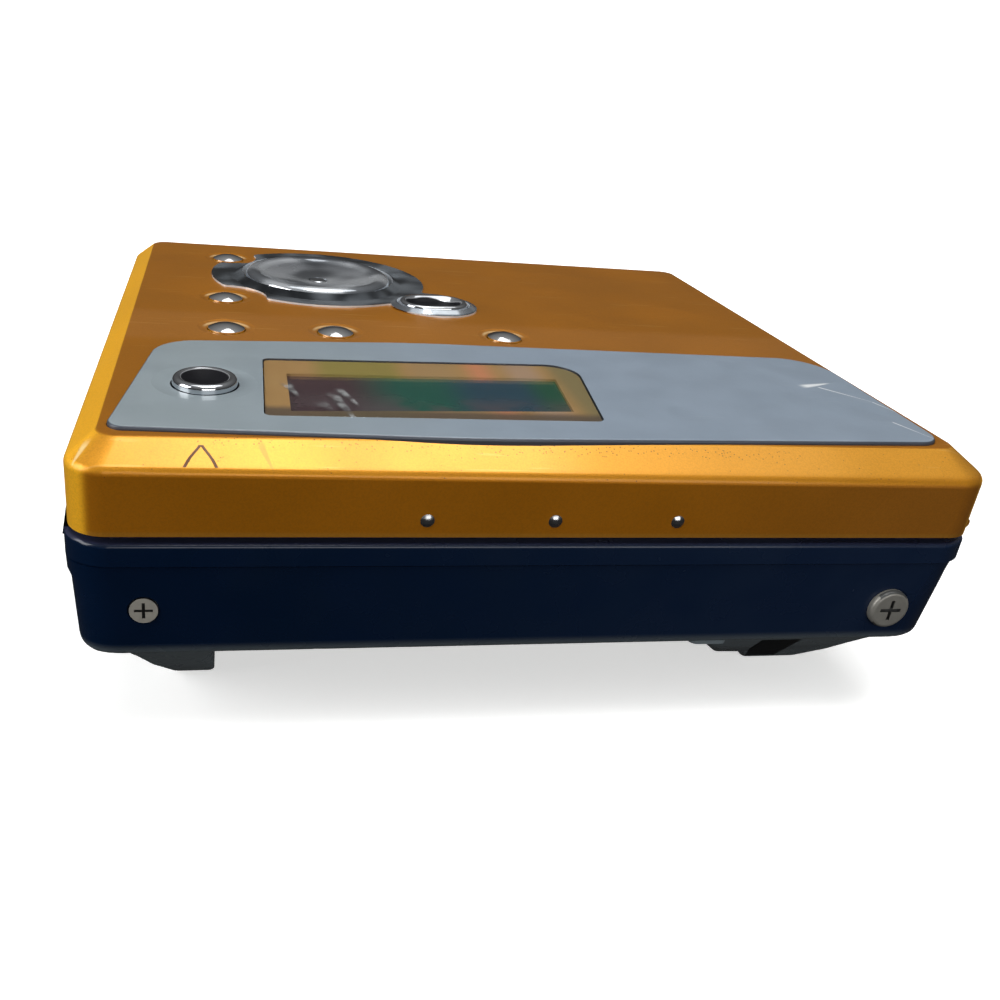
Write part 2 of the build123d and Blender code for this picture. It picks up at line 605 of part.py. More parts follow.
def chassis_deck():
    z0, z1 = DECK_Z, DECK_Z + DECK_T
    deck = slab(-38.0, 37.6, -35.2, 32.5, z0, z1, 1.5)
    deck -= post(DISC_X, DISC_Y, z0 - 1, z1 + 1, 6.3)
    deck -= slab(11.8, 34.4, DISC_Y - 3.6, DISC_Y + 3.6, z0 - 1, z1 + 1, 1.2)
    for x in (-31.0, 31.0):
        for y in (-32.0, 17.0):
            deck -= post(x, y, z0 - 1, z1 + 1, 0.65)
    for x0, x1, y0, y1 in ((-30, -14, -26, -10), (-30, -14, 4, 12), (-6, 8, -32, -20), (14, 28, -32, -26)):
        deck -= slab(x0, x1, y0, y1, z0 - 1, z1 + 1, 1.5)
    for x, y in ((-27.0, -31.5), (27.0, 21.0)):
        deck += post(x, y, z1, 17.3, 0.9)
    for (x, z), r in ((LEFT_SCREW, 0.55), (RIGHT_SCREW, 0.75)):
        tab = box(x - 2.4, x + 2.4, -35.2, -34.7, z - 1.8, z1) - rod_y(x, z, -36, -34, r)
        deck += tab
    return deck


def deck_screws():
    screws = []
    for x in (-31.0, 31.0):
        for y in (-32.0, 17.0):
            z = DECK_Z + DECK_T
            head = post(x, y, z, z + 0.5, 1.2)
            head -= box(x - 0.8, x + 0.8, y - 0.13, y + 0.13, z + 0.25, z + 1)
            head -= box(x - 0.13, x + 0.13, y - 0.8, y + 0.8, z + 0.25, z + 1)
            screws.append(head + post(x, y, 12.6, z, 0.55))
    return screws


def main_board():
    z0, z1 = BOARD_Z, BOARD_Z + BOARD_T
    board = slab(-37.4, 36.4, -34.4, 19.2, z0, z1, 1.5)
    board -= box(19.5, 40, -25.6, -10.4, z0 - 1, z1 + 1)
    for x in (-31.0, 31.0):
        for y in (-32.0, 17.0):
            board -= post(x, y, z0 - 1, z1 + 1, 1.9)
    return board


def board_chips():
    z = BOARD_Z + BOARD_T
    chips = [
        slab(-24, -14, 3, 13, z, z + 1.1, 0.4), slab(-23, -12.5, -17, -7, z, z + 1.0, 0.4),
        slab(-21, -9, -32, -25, z, z + 1.0, 0.4), slab(0, 9, -33, -27, z, z + 1.2, 0.4),
        slab(13, 23, 13.7, 18.3, z, z + 0.8, 0.3), slab(-9, -3, 12.5, 17.5, z, z + 0.8, 0.3),
    ]
    chips += [post(x, -30.5, z, z + 3.6, 1.9) for x in (13.0, 17.6)]
    return chips


def spindle_motor():
    can = post(DISC_X, DISC_Y, 12.4, 15.5, 8.6) + post(DISC_X, DISC_Y, 15.5, DECK_Z, 9.6)
    can = fillet([e for e in can.edges() if abs(e.center().Z - 12.4) < 0.01], 0.6)
    return can - post(DISC_X, DISC_Y, 12.9, 17, 1.05)


def turntable():
    half = [
        (0, 13.0), (1.0, 13.0), (1.0, 16.2), (2.3, 16.2), (2.3, 16.75), (5.6, 16.75), (5.6, 17.1),
        (5.2, 17.25), (3.6, 17.25), (3.4, 17.05), (2.2, 17.05), (2.0, 17.2), (1.2, 17.35), (0, 17.35),
    ]
    section = make_face(Polyline(*[(r, 0, z) for r, z in half], close=True))
    return Pos(DISC_X, DISC_Y, 0) * revolve(section, Axis.Z)


def pickup_sled():
    """Optical sled: it rides on the guide shaft at the back and on the screw's nut arm at the front."""
    lens_x = DISC_X + LENS_START_R
    block = slab(lens_x - 5.2, lens_x + 4.8, -10.6, 9.3, 12.1, 15.6, 0.8)
    block = fillet([e for e in block.edges() if abs(e.center().Z - 15.6) < 0.01], 0.4)
    block += post(lens_x, DISC_Y, 15.4, 16.5, 2.9)
    block -= post(lens_x, DISC_Y, 16.1, 17, 1.7)
    block += box(lens_x - 4.4, lens_x + 4.0, 9.0, 13.0, 12.0, 14.6)
    block -= rod(lens_x - 6, lens_x + 6, GUIDE_Y, DRIVE_Z, 0.83)
    block += box(lens_x - 2.4, lens_x + 2.4, -15.0, -10.4, 14.5, 15.3)
    block -= slab(lens_x - 3.6, lens_x + 3.2, -9.6, -6.0, 13.6, 17, 0.6)
    block -= slab(lens_x - 3.6, lens_x + 3.2, 4.4, 8.0, 13.6, 17, 0.6)
    return block


def objective_lens():
    lens_x = DISC_X + LENS_START_R
    base = post(lens_x, DISC_Y, 16.1, 16.55, 1.7)
    dome = (Pos(lens_x, DISC_Y, 16.55 - 3.0) * Sphere(3.4)) & post(lens_x, DISC_Y, 16.55, 17, 1.55)
    return base + dome


def guide_shaft():
    return rod(7.0, 37.6, GUIDE_Y, DRIVE_Z, 0.8)


def shaft_supports():
    """Blocks under the deck that hold the guide shaft and the screw's inner end."""
    blocks = []
    for x0 in (6.8, 35.9):
        block = box(x0, x0 + 1.8, GUIDE_Y - 1.6, GUIDE_Y + 1.6, 11.8, DECK_Z)
        blocks.append(block - rod(x0 - 1, x0 + 3, GUIDE_Y, DRIVE_Z, 0.8))
    block = box(7.0, 9.0, SCREW_Y - 1.6, SCREW_Y + 1.6, 11.8, DECK_Z)
    blocks.append(block - rod(7.6, 10, SCREW_Y, DRIVE_Z, 0.94))
    return blocks


def gear_pitch_r(teeth):
    return GEAR_MODULE * teeth / 2


def idler_y():
    return SCREW_Y - gear_pitch_r(SCREW_TEETH) - gear_pitch_r(IDLER_TEETH)


def pinion_y():
    return idler_y() - gear_pitch_r(IDLER_TEETH) - gear_pitch_r(PINION_TEETH)


def gear(teeth, y, z, bore_r, first_tooth):
    """Spur gear with its axis along X. first_tooth is the angle of one tooth's middle from +Y, towards +Z."""
    pitch = gear_pitch_r(teeth)
    root, tip = pitch - 0.34, pitch + 0.24
    disc = Circle(root)
    for k in range(teeth):
        angle = first_tooth + 360 * k / teeth
        tooth = make_face(Polyline(
            (root - 0.1, -0.27), (pitch, -0.17), (tip, -0.09), (tip, 0.09), (pitch, 0.17), (root - 0.1, 0.27),
            close=True))
        disc += Rot(0, 0, angle) * tooth
    disc -= Circle(bore_r)
    wheel = extrude(disc, GEAR_X1 - GEAR_X0)
    # sketch x goes to +Y, sketch y to +Z, and the extrusion to +X
    place = Location(Plane(origin=(GEAR_X0, y, z), x_dir=(0, 1, 0), z_dir=(1, 0, 0)))
    return place * wheel


def lead_screw():
    return rod(7.8, GEAR_X1 + 0.3, SCREW_Y, DRIVE_Z, 0.9)


def screw_gear():
    return gear(SCREW_TEETH, SCREW_Y, DRIVE_Z, 0.9, 0)


def idler_gear():
    return gear(IDLER_TEETH, idler_y(), DRIVE_Z, 0.55, 180 / IDLER_TEETH)


def motor_pinion():
    wheel = gear(PINION_TEETH, pinion_y(), DRIVE_Z, 0.4, 0)
    return wheel + rod(30.0, GEAR_X1 + 0.2, pinion_y(), DRIVE_Z, 0.4)


def gear_bracket():
    plate = box(34.0, 34.5, pinion_y() - 2.6, SCREW_Y + 1.7, 11.7, DECK_Z)
    plate -= rod(33, 35, SCREW_Y, DRIVE_Z, 0.94)
    plate -= rod(33, 35, pinion_y(), DRIVE_Z, 0.9)
    return plate + rod(34.5, GEAR_X1 + 0.4, idler_y(), DRIVE_Z, 0.5)


def sled_motor():
    can = rod(21.6, 34.0, pinion_y(), DRIVE_Z, 2.45)
    can = fillet([e for e in can.edges().filter_by(GeomType.CIRCLE) if e.center().X < 22], 0.4)
    can += box(24.0, 31.0, pinion_y() - 1.2, pinion_y() + 1.2, 14.8, DECK_Z)
    can += rod(20.9, 21.6, pinion_y(), DRIVE_Z, 0.9)
    return can - rod(29.5, 35, pinion_y(), DRIVE_Z, 0.45)


def disc_holder():
    """Folded sheet tray: roof, two sides with lips under the cartridge, a back stop and two hinge ears."""
    out = HOLDER_IN + HOLDER_SHEET
    roof = slab(-out, out, -34.4, DISC_BACK + 0.45, HOLDER_TOP - HOLDER_SHEET, HOLDER_TOP, 0.6)
    roof -= post(DISC_X, DISC_Y, 22, 24, 9.5)
    roof -= slab(6, 33, DISC_Y - 4.5, DISC_Y + 4.5, 22, 24, 1.5)
    roof -= slab(-31, -14, -24, 22, 22, 24, 2.5)
    roof -= slab(-9, 31, 14, 27, 22, 24, 2.5)
    roof -= slab(-9, 31, -28, -16, 22, 24, 2.5)
    roof -= slab(-16, 16, -36, -31.5, 22, 24, 2.0)
    tray = roof
    for side in (-1, 1):
        x0, x1 = sorted((side * HOLDER_IN, side * out))
        tray += box(x0, x1, -34.0, DISC_BACK + 0.45, 17.0, HOLDER_TOP - 0.2)
        l0, l1 = sorted((side * 34.6, side * out))
        tray += box(l0, l1, -34.0, 28.0, 16.95, 17.3)
        tray += box(x0, x1, DISC_BACK, HINGE_Y, HINGE_Z - BARREL_R, HINGE_Z + BARREL_R)
        tray += rod(x0, x1, HINGE_Y, HINGE_Z, BARREL_R)
        tray -= rod(x0 - 1, x1 + 1, HINGE_Y, HINGE_Z, PIN_BORE_R)
        b0, b1 = sorted((side * 20, side * out))
        tray += box(b0, b1, DISC_BACK + 0.05, DISC_BACK + 0.45, 18.4, HOLDER_TOP - 0.2)
    return tray


# ------------------------------------------------------- sockets and sliders

def round_jack(y, bore_r, collar_r, length):
    """Jack with a boxy body on the board and a round collar in the wall."""
    z = 13.8
    body = box(-38.4, -38.4 + length, y - 3.1, y + 3.1, BOARD_Z + BOARD_T, 15.95)
    body = fillet(body.edges().filter_by(Axis.X), 0.5)
    body += rod(-39.85, -38.4, y, z, collar_r)
    return body - rod(-41, -38.4 + length - 1.0, y, z, bore_r)


def phones_jack():
    return round_jack(-24.0, 1.8, 2.5, 13.0)


def line_in_jack():
    return round_jack(-14.5, 1.8, 2.5, 13.0)


def dc_in_jack():
    jack = round_jack(4.0, 1.5, 2.1, 9.5)
    return jack + rod(-38.9, -29.5, 4.0, 13.8, 0.4)


def usb_socket():
    shell = slab_x(-39.6, -31.0, -8.9, -1.1, 11.62, 15.62, 0.5)
    shell += box(-37.9, -31.0, -8.9, -1.1, BOARD_Z + BOARD_T, 12.0)
    shell -= slab_x(-41, -32.0, -8.5, -1.5, 12.05, 15.2, 0.35)
    return shell + box(-38.6, -31.5, -7.4, -2.6, 13.9, 14.5)


def hold_slider():
    y0, y1 = 11.0, 14.0
    knob = box(-HALF_W - NUB_OUT, -40.3, y0, y1, 13.1, 14.9)
    knob = fillet([e for e in knob.edges() if abs(e.center().X + HALF_W + NUB_OUT) < 0.01], 0.25)
    web = box(-40.3, -38.5, y0 + 0.2, y1 - 0.6, 13.55, 14.45)
    return knob + web + box(-38.7, -38.2, y0 - 0.3, y1 + 0.1, 12.9, 15.1)


def open_slider():
    """Side slider with an inner finger that lies behind the lid's latch hook."""
    bar = box(38.9, 40.2, -31.2, -26.2, 18.35, 19.1)
    knob = box(40.2, HALF_W + NUB_OUT, -30.6, -26.8, 18.35, 19.1)
    knob = fillet(knob.edges().filter_by(Axis.Z), 0.2)
    return bar + knob


save("lid_cover", lid_cover())
save("latch_hook", latch_hook())
save("lid_inner_frame", lid_inner_frame())
save("lid_screws", *lid_screws())
save("display_panel", display_panel())
save("display_window", display_window())
save("display_bezel", display_bezel())
save("lcd_module", lcd_module())
save("switch_board", switch_board())
save("tact_switches", *tact_switches())
save("control_plate", control_plate())
save("lid_rivets", *lid_rivets())
save("pad_saddles", *pad_saddles())
save("pad_gimbal", pad_gimbal())
save("control_pad", control_pad())
save("play_button", play_button())
save("stop_button", stop_button())
for number, (bx, by) in enumerate(ROUND_BUTTONS, 1):
    save(f"round_button_{number}", round_button(bx, by))
save("group_button", group_button())
save("upper_frame", upper_frame())
save("hinge_pins", *hinge_pins())
save("lower_case", lower_case())
save("battery_door", battery_door())
save("battery_door_pin", battery_door_pin())
save("battery_contact_minus", battery_contact_minus())
save("battery_contact_plus", battery_contact_plus())
save("case_screws", *case_screws())
save("chassis_deck", chassis_deck())
save("deck_screws", *deck_screws())
save("main_board", main_board())
save("board_chips", *board_chips())
save("spindle_motor", spindle_motor())
save("turntable", turntable())
save("pickup_sled", pickup_sled())
save("objective_lens", objective_lens())
save("guide_shaft", guide_shaft())
save("shaft_supports", *shaft_supports())
save("lead_screw", lead_screw())
save("screw_gear", screw_gear())
save("idler_gear", idler_gear())
save("motor_pinion", motor_pinion())
save("gear_bracket", gear_bracket())
save("sled_motor", sled_motor())
save("disc_holder", disc_holder())
save("phones_jack", phones_jack())
save("line_in_jack", line_in_jack())
save("dc_in_jack", dc_in_jack())
save("usb_socket", usb_socket())
save("hold_slider", hold_slider())
save("open_slider", open_slider())
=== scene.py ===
import math

import bmesh
import bpy
from mathutils import Matrix, Vector
from mathutils.bvhtree import BVHTree
from mathutils.interpolate import poly_3d_calc


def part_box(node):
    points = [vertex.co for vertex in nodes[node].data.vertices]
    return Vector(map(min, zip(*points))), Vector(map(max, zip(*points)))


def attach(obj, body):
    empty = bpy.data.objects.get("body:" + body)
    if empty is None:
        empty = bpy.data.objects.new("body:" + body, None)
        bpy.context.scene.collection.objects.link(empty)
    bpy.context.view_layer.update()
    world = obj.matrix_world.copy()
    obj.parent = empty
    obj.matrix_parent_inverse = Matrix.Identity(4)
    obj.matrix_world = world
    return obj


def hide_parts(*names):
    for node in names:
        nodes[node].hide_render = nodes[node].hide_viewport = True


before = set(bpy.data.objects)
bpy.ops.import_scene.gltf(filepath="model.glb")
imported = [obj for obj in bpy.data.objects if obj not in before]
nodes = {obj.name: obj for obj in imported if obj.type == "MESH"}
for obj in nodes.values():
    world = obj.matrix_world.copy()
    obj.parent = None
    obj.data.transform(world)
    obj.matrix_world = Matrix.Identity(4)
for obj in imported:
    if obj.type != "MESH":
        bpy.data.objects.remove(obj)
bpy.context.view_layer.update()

# Metres, in the CAD frame: -Y is the disc mouth, +Y the hinge, +Z up.
MM = 0.001

# Places on the lid, in millimetres
ROUND_BUTTONS = [(-28.3, 27.5), (-28.5, 7.4), (-28.4, -4.7), (-16.9, -4.5), (2.1, -3.7)]
PAD = (-17.0, 18.5)
STOP = (-4.0, 7.4, 8.0)
GROUP = (-30.2, -23.0)
DISH_TOP = 28.6

# Heights on the lower case, in millimetres
SHOULDER = (15.6, 16.4)
FEET_CUT = 8.93
BOARD_TOP = 11.5


# ------------------------------------------------------------------ materials

class Finish:
    """One procedural material on a Principled shader. Patterns are placed in metres on the part itself."""

    def __init__(self, name, colour, roughness, metallic=0.0, coat=0.0, coat_roughness=0.05, **sockets):
        self.material = bpy.data.materials.new(name)
        self.material.use_nodes = True
        self.tree = self.material.node_tree
        self.shader = self.tree.nodes["Principled BSDF"]
        self.set("Base Color", (*colour, 1))
        self.set("Roughness", roughness)
        self.set("Metallic", metallic)
        self.set("Coat Weight", coat)
        self.set("Coat Roughness", coat_roughness)
        for socket, value in sockets.items():
            self.set(socket.replace("_", " "), value)
        self.place = self.node("ShaderNodeTexCoord").outputs["Object"]
        self.height = None

    def set(self, socket, value):
        self.shader.inputs[socket].default_value = value

    def node(self, kind, inputs=None, **attributes):
        made = self.tree.nodes.new(kind)
        for name, value in attributes.items():
            setattr(made, name, value)
        for socket, value in (inputs or {}).items():
            if isinstance(value, bpy.types.NodeSocket):
                self.tree.links.new(value, made.inputs[socket])
            else:
                made.inputs[socket].default_value = value
        return made

    def link(self, output, socket):
        self.tree.links.new(output, self.shader.inputs[socket])

    def moved(self, turn=(0, 0, 0), scale=(1, 1, 1), shift=(0, 0, 0)):
        mapping = self.node("ShaderNodeMapping", {"Vector": self.place, "Rotation": turn, "Scale": scale,
                                                  "Location": shift})
        return mapping.outputs["Vector"]

    def noise(self, size, detail):
        """Noise whose blotches are about size metres across."""
        made = self.node("ShaderNodeTexNoise", {"Vector": self.place, "Scale": 1 / size, "Detail": detail,
                                                "Roughness": 0.5})
        return made.outputs["Fac"]

    def spots(self, spacing, radius):
        """1 inside round spots of that radius, one in each cell of that spacing."""
        cells = self.node("ShaderNodeTexVoronoi", {"Vector": self.place, "Scale": 1 / spacing})
        reach = radius / spacing
        return self.span(cells.outputs["Distance"], reach, reach * 0.5)

    def span(self, value, start, end, low=0.0, high=1.0):
        """Maps start..end to low..high, clamped and eased."""
        made = self.node("ShaderNodeMapRange", {"Value": value, "From Min": start, "From Max": end,
                                                "To Min": low, "To Max": high},
                         interpolation_type="SMOOTHSTEP")
        return made.outputs["Result"]

    def math(self, operation, a, b=0.0):
        made = self.node("ShaderNodeMath", {0: a, 1: b}, operation=operation)
        return made.outputs["Value"]

    def axis(self, name):
        split = self.node("ShaderNodeSeparateXYZ", {"Vector": self.place})
        return split.outputs[name]

    def between(self, axis, low, high, soft):
        """1 where the axis is between low and high metres, easing over soft metres."""
        rise = self.span(self.axis(axis), low - soft, low + soft)
        fall = self.span(self.axis(axis), high + soft, high - soft)
        return self.math("MULTIPLY", rise, fall)

    def stroke(self, start, end, width):
        """1 on a straight mark from start to end, (x, y) in metres, that narrows to nothing at its end."""
        run, rise = end[0] - start[0], end[1] - start[1]
        length, angle = math.hypot(run, rise), math.atan2(rise, run)
        back = (-(start[0] * math.cos(angle) + start[1] * math.sin(angle)),
                start[0] * math.sin(angle) - start[1] * math.cos(angle), 0)
        split = self.node("ShaderNodeSeparateXYZ", {"Vector": self.moved(turn=(0, 0, -angle), shift=back)})
        along, across = split.outputs["X"], self.math("ABSOLUTE", split.outputs["Y"])
        half = self.span(along, 0.0, length, width / 2, width / 8)
        inside = self.span(self.math("DIVIDE", across, half), 1.0, 0.35)
        ends = self.math("MULTIPLY", self.span(along, 0.0, width), self.span(along, length, length - width))
        return self.math("MULTIPLY", inside, ends)

    def crescent(self, x, y, radius, width):
        """1 on a thin arc round (x, y) in metres, on the side away from the camera."""
        from_centre = self.node("ShaderNodeVectorMath", {0: self.place, 1: (x, y, 28 * MM)},
                                operation="DISTANCE").outputs["Value"]
        off = self.math("ABSOLUTE", self.math("SUBTRACT", from_centre, radius))
        far = self.span(self.axis("Y"), y, y + 0.6 * radius)
        return self.math("MULTIPLY", self.span(off, width, 0.2 * width), far)

    def facing(self, low, high, axis="Z"):
        """0 to 1 as the part's own surface turns from low to high along the axis, by its unit normal."""
        coordinates = self.node("ShaderNodeTexCoord")
        split = self.node("ShaderNodeSeparateXYZ", {"Vector": coordinates.outputs["Normal"]})
        return self.span(split.outputs[axis], low, high)

    def across_part(self, low, high):
        """0 to 1 across the part's own depth, from its near side (0) to its far side (1)."""
        coordinates = self.node("ShaderNodeTexCoord")
        split = self.node("ShaderNodeSeparateXYZ", {"Vector": coordinates.outputs["Generated"]})
        return self.span(split.outputs["Y"], low, high)

    def mixed(self, fac, a, b):
        made = self.node("ShaderNodeMix", data_type="RGBA")
        for index, value in ((0, fac), (6, a), (7, b)):
            if isinstance(value, bpy.types.NodeSocket):
                self.tree.links.new(value, made.inputs[index])
            elif index:
                made.inputs[index].default_value = (*value, 1)
            else:
                made.inputs[index].default_value = value
        return made.outputs[2]

    def colour(self, output):
        self.link(output, "Base Color")

    def roughness(self, value, low, high):
        self.link(self.span(value, 0.3, 0.7, low, high), "Roughness")

    def bump(self, height, depth, strength=1.0):
        """Adds relief of about that depth in metres; calls stack."""
        inputs = {"Height": height, "Strength": strength, "Distance": depth}
        if self.height is not None:
            inputs["Normal"] = self.height
        self.height = self.node("ShaderNodeBump", inputs).outputs["Normal"]
        self.link(self.height, "Normal")

    def scratches(self, spacing, length, width, turn, keep=0.62):
        """Thin broken lines: stretched noise, cut off high."""
        stretched = self.moved(turn=(0, 0, turn), scale=(1 / length, 1 / spacing, 1 / length))
        line = self.node("ShaderNodeTexNoise", {"Vector": stretched, "Scale": 1.0, "Detail": 1.0})
        return self.span(line.outputs["Fac"], keep, keep + width)


def pearl_paint():
    """Amber pearl lacquer: metal flake under a clear coat, with chips, pits and fine scratches, and with
    painted light and shade: a lighter bevel, a darker top, lit end walls, painted highlights and a painted
    reflection.
    """
    f = Finish("pearl_paint", (0.45, 0.155, 0.005), 0.42, metallic=0.5, coat=0.32, coat_roughness=0.16,
               Specular_Tint=(1.0, 0.72, 0.3, 1))
    blotch = f.noise(9 * MM, 2)
    top = f.mixed(blotch, (0.40, 0.135, 0.004), (0.47, 0.165, 0.007))
    # Painted reflection: a lighter band on the top just behind the strip.
    strip_reflection_band = f.between("Y", -9.5 * MM, 0.5 * MM, 1.2 * MM)
    top = f.mixed(f.math("MULTIPLY", strip_reflection_band, 0.55), top, (0.50, 0.20, 0.045))
    bevel = f.mixed(blotch, (0.66, 0.29, 0.02), (0.76, 0.36, 0.04))
    # Painted shade: a darker band along the rounded lower edge of the bevel.
    bevel_foot_shade = f.between("Z", 25.6 * MM, 26.45 * MM, 0.2 * MM)
    bevel = f.mixed(f.math("MULTIPLY", bevel_foot_shade, 0.75), bevel, (0.5, 0.19, 0.004))
    # Painted light: the bevel lighter towards its left end.
    bevel = f.mixed(f.span(f.axis("X"), -30 * MM, -38 * MM, 0.0, 0.6), bevel, (0.72, 0.3, 0.012))
    side = f.mixed(blotch, (0.50, 0.165, 0.004), (0.57, 0.19, 0.005))
    side = f.mixed(f.span(f.axis("X"), 5 * MM, 38 * MM, 0.0, 0.6), side, (0.50, 0.18, 0.03))
    low_edge = f.between("Z", 20.5 * MM, 20.95 * MM, 0.12 * MM)
    side = f.mixed(f.math("MULTIPLY", low_edge, 0.5), side, (0.55, 0.27, 0.04))
    # Painted light and shade: the same paint coloured by which way the surface faces, the bevels lighter and
    # the top darker.
    base = f.mixed(f.facing(0.08, 0.5), side, bevel)
    # Painted highlight: the lid's end walls, facing left and right, in bright gold.
    ends = f.math("MAXIMUM", f.facing(-0.3, -0.62, "X"), f.facing(0.4, 0.7, "X"))
    base = f.mixed(ends, base, (1.0, 0.5, 0.02))
    base = f.mixed(f.facing(0.9, 0.975), base, top)
    flake = f.node("ShaderNodeTexVoronoi", {"Vector": f.place, "Scale": 1 / (0.09 * MM)})
    glint = f.span(flake.outputs["Distance"], 0.0, 0.6)
    base = f.mixed(f.math("MULTIPLY", glint, 0.2), base, (0.64, 0.27, 0.02))
    grain = f.span(f.noise(0.16 * MM, 2), 0.35, 0.7, 0.0, 0.16)
    base = f.mixed(grain, base, (0.2, 0.08, 0.01))
    front = f.math("MULTIPLY", f.between("Y", -37.3 * MM, -34.4 * MM, 0.2 * MM),
                   f.between("Z", 25.6 * MM, 27.95 * MM, 0.1 * MM))
    patchy = f.span(f.noise(5 * MM, 2), 0.32, 0.5)
    pits = f.math("MULTIPLY", f.spots(0.55 * MM, 0.07 * MM), f.math("MULTIPLY", front, patchy))
    base = f.mixed(f.math("MULTIPLY", pits, 0.75), base, (0.11, 0.05, 0.02))
    specks = f.math("MULTIPLY", f.spots(0.34 * MM, 0.085 * MM),
                    f.between("Y", -35.4 * MM, -34.4 * MM, 0.15 * MM))
    specks = f.math("MULTIPLY", specks, f.between("X", -30 * MM, 20 * MM, 4 * MM))
    base = f.mixed(f.math("MULTIPLY", specks, 0.8), base, (0.09, 0.04, 0.015))
    # Painted highlight: a cream arc on the far slope of each round button's dimple.
    for x, y in ROUND_BUTTONS:
        arc_highlight = f.math("MULTIPLY", f.crescent(x * MM, y * MM, 2.35 * MM, 0.26 * MM), f.facing(0.8, 0.9))
        base = f.mixed(f.math("MULTIPLY", arc_highlight, 0.8), base, (0.95, 0.66, 0.32))
    sloping = f.facing(0.35, 0.55)
    # Painted highlight: a cream streak on the bevel at the front-left corner.
    corner_highlight_streak = f.math("MULTIPLY", f.stroke((-38.6 * MM, -34.2 * MM), (-39.9 * MM, -36.4 * MM), 0.9 * MM),
                    sloping)
    base = f.mixed(f.math("MULTIPLY", corner_highlight_streak, 0.7), base, (1.0, 0.8, 0.4))
    smear = f.math("MULTIPLY", f.stroke((-25.9 * MM, -34.7 * MM), (-24.6 * MM, -37.2 * MM), 0.8 * MM),
                   sloping)
    base = f.mixed(f.math("MULTIPLY", smear, 0.45), base, (0.25, 0.12, 0.03))
    scuffs = f.scratches(0.5 * MM, 9 * MM, 0.05, 0.5, 0.69)
    base = f.mixed(f.math("MULTIPLY", f.math("MULTIPLY", scuffs, sloping), 0.2), base, (0.8, 0.5, 0.16))
    f.colour(base)
    f.link(f.span(ends, 0.0, 1.0, 0.5, 0.08), "Metallic")
    f.roughness(f.noise(14 * MM, 3), 0.38, 0.48)
    f.bump(f.noise(0.5 * MM, 2), 0.004 * MM, 0.35)
    f.bump(pits, -0.02 * MM, 0.6)
    return f.material


def navy_gloss():
    """Blue-black polished plastic, bluer to the right, with a painted grey floor sheen low down, a painted
    highlight on the rim and painted black shade in the gap under the lid.
    """
    f = Finish("navy_gloss", (0.001, 0.004, 0.014), 0.26, coat=0.2, coat_roughness=0.14,
               Specular_IOR_Level=0.36)
    along = f.span(f.axis("X"), -40 * MM, 38 * MM)
    base = f.mixed(along, (0.0002, 0.0075, 0.027), (0.008, 0.019, 0.05))
    base = f.mixed(f.span(f.noise(8 * MM, 3), 0.4, 0.65, 0.0, 0.35), base, (0.0015, 0.010, 0.038))
    # Painted reflection: a grey sheen of the floor on the lowest few millimetres.
    floor_sheen = f.span(f.axis("Z"), 10.2 * MM, 8.6 * MM)
    base = f.mixed(f.math("MULTIPLY", floor_sheen, 0.85), base, (0.27, 0.32, 0.345))
    # Painted highlight: a purple-grey band along the top edge of the rim.
    rim = f.between("Z", 19.72 * MM, 19.98 * MM, 0.06 * MM)
    base = f.mixed(f.math("MULTIPLY", rim, 0.3), base, (0.09, 0.085, 0.15))
    # Painted shade: black in the gap just under the lid.
    gap = f.span(f.axis("Z"), 19.96 * MM, 20.04 * MM)
    base = f.mixed(gap, base, (0.0, 0.0, 0.0))
    f.colour(base)
    f.roughness(f.noise(6 * MM, 4), 0.2, 0.31)
    f.bump(f.noise(0.35 * MM, 2), 0.002 * MM, 0.15)
    return f.material


def strip_film():
    """Satin film, grey-green at the left and bluer to the right, with white marks at its right end."""
    f = Finish("strip_film", (0.22, 0.27, 0.33), 0.42, metallic=0.15, coat=0.3, coat_roughness=0.25)
    along = f.span(f.axis("X"), -36 * MM, 6 * MM)
    left = f.mixed(f.noise(6 * MM, 3), (0.26, 0.31, 0.335), (0.29, 0.34, 0.36))
    right = f.mixed(f.noise(6 * MM, 3), (0.25, 0.31, 0.38), (0.28, 0.34, 0.415))
    base = f.mixed(along, left, right)
    fine = f.scratches(0.35 * MM, 10 * MM, 0.05, 0.25, 0.7)
    base = f.mixed(f.math("MULTIPLY", fine, 0.18), base, (0.4, 0.44, 0.48))
    white_strokes = [((30.2, -18.6), (34.9, -17.0), 1.3), ((32.4, -18.4), (36.3, -22.6), 0.3),
               ((36.2, -22.5), (37.3, -25.8), 0.22), ((34.8, -28.1), (36.6, -32.4), 0.25)]
    marks = None
    for start, end, width in white_strokes:
        mark = f.stroke([c * MM for c in start], [c * MM for c in end], width * MM)
        marks = mark if marks is None else f.math("MAXIMUM", marks, mark)
    base = f.mixed(marks, base, (0.82, 0.85, 0.86))
    base = f.mixed(f.facing(0.97, 0.8), base, (0.05, 0.06, 0.08))
    f.colour(base)
    f.roughness(f.noise(4 * MM, 3), 0.36, 0.5)
    f.bump(f.noise(0.12 * MM, 2), 0.002 * MM, 0.4)
    return f.material


def clear_window():
    """See-through lens: only its gloss and its white scuffs cover what lies under it."""
    f = Finish("clear_window", (0.0, 0.0, 0.0), 0.05, coat=1.0, Coat_IOR=1.9, Specular_IOR_Level=0.8)
    scuffs = [((-23.4, -21.6), (-22.0, -26.2), 1.6), ((-20.8, -26.6), (-19.1, -29.2), 2.0),
              ((-19.3, -24.0), (-17.2, -33.4), 1.5), ((-18.6, -23.2), (-16.9, -28.0), 1.2)]
    marks = None
    for start, end, width in scuffs:
        mark = f.stroke([c * MM for c in start], [c * MM for c in end], width * MM)
        marks = mark if marks is None else f.math("MAXIMUM", marks, mark)
    marks = f.math("MULTIPLY", marks, f.span(f.noise(1.1 * MM, 5), 0.32, 0.68, 0.15, 0.8))
    f.colour(f.mixed(marks, (0.0, 0.0, 0.0), (0.7, 0.74, 0.74)))
    f.link(f.span(marks, 0.0, 1.0, 0.12, 0.55), "Alpha")
    f.roughness(f.noise(3 * MM, 3), 0.03, 0.1)
    return f.material


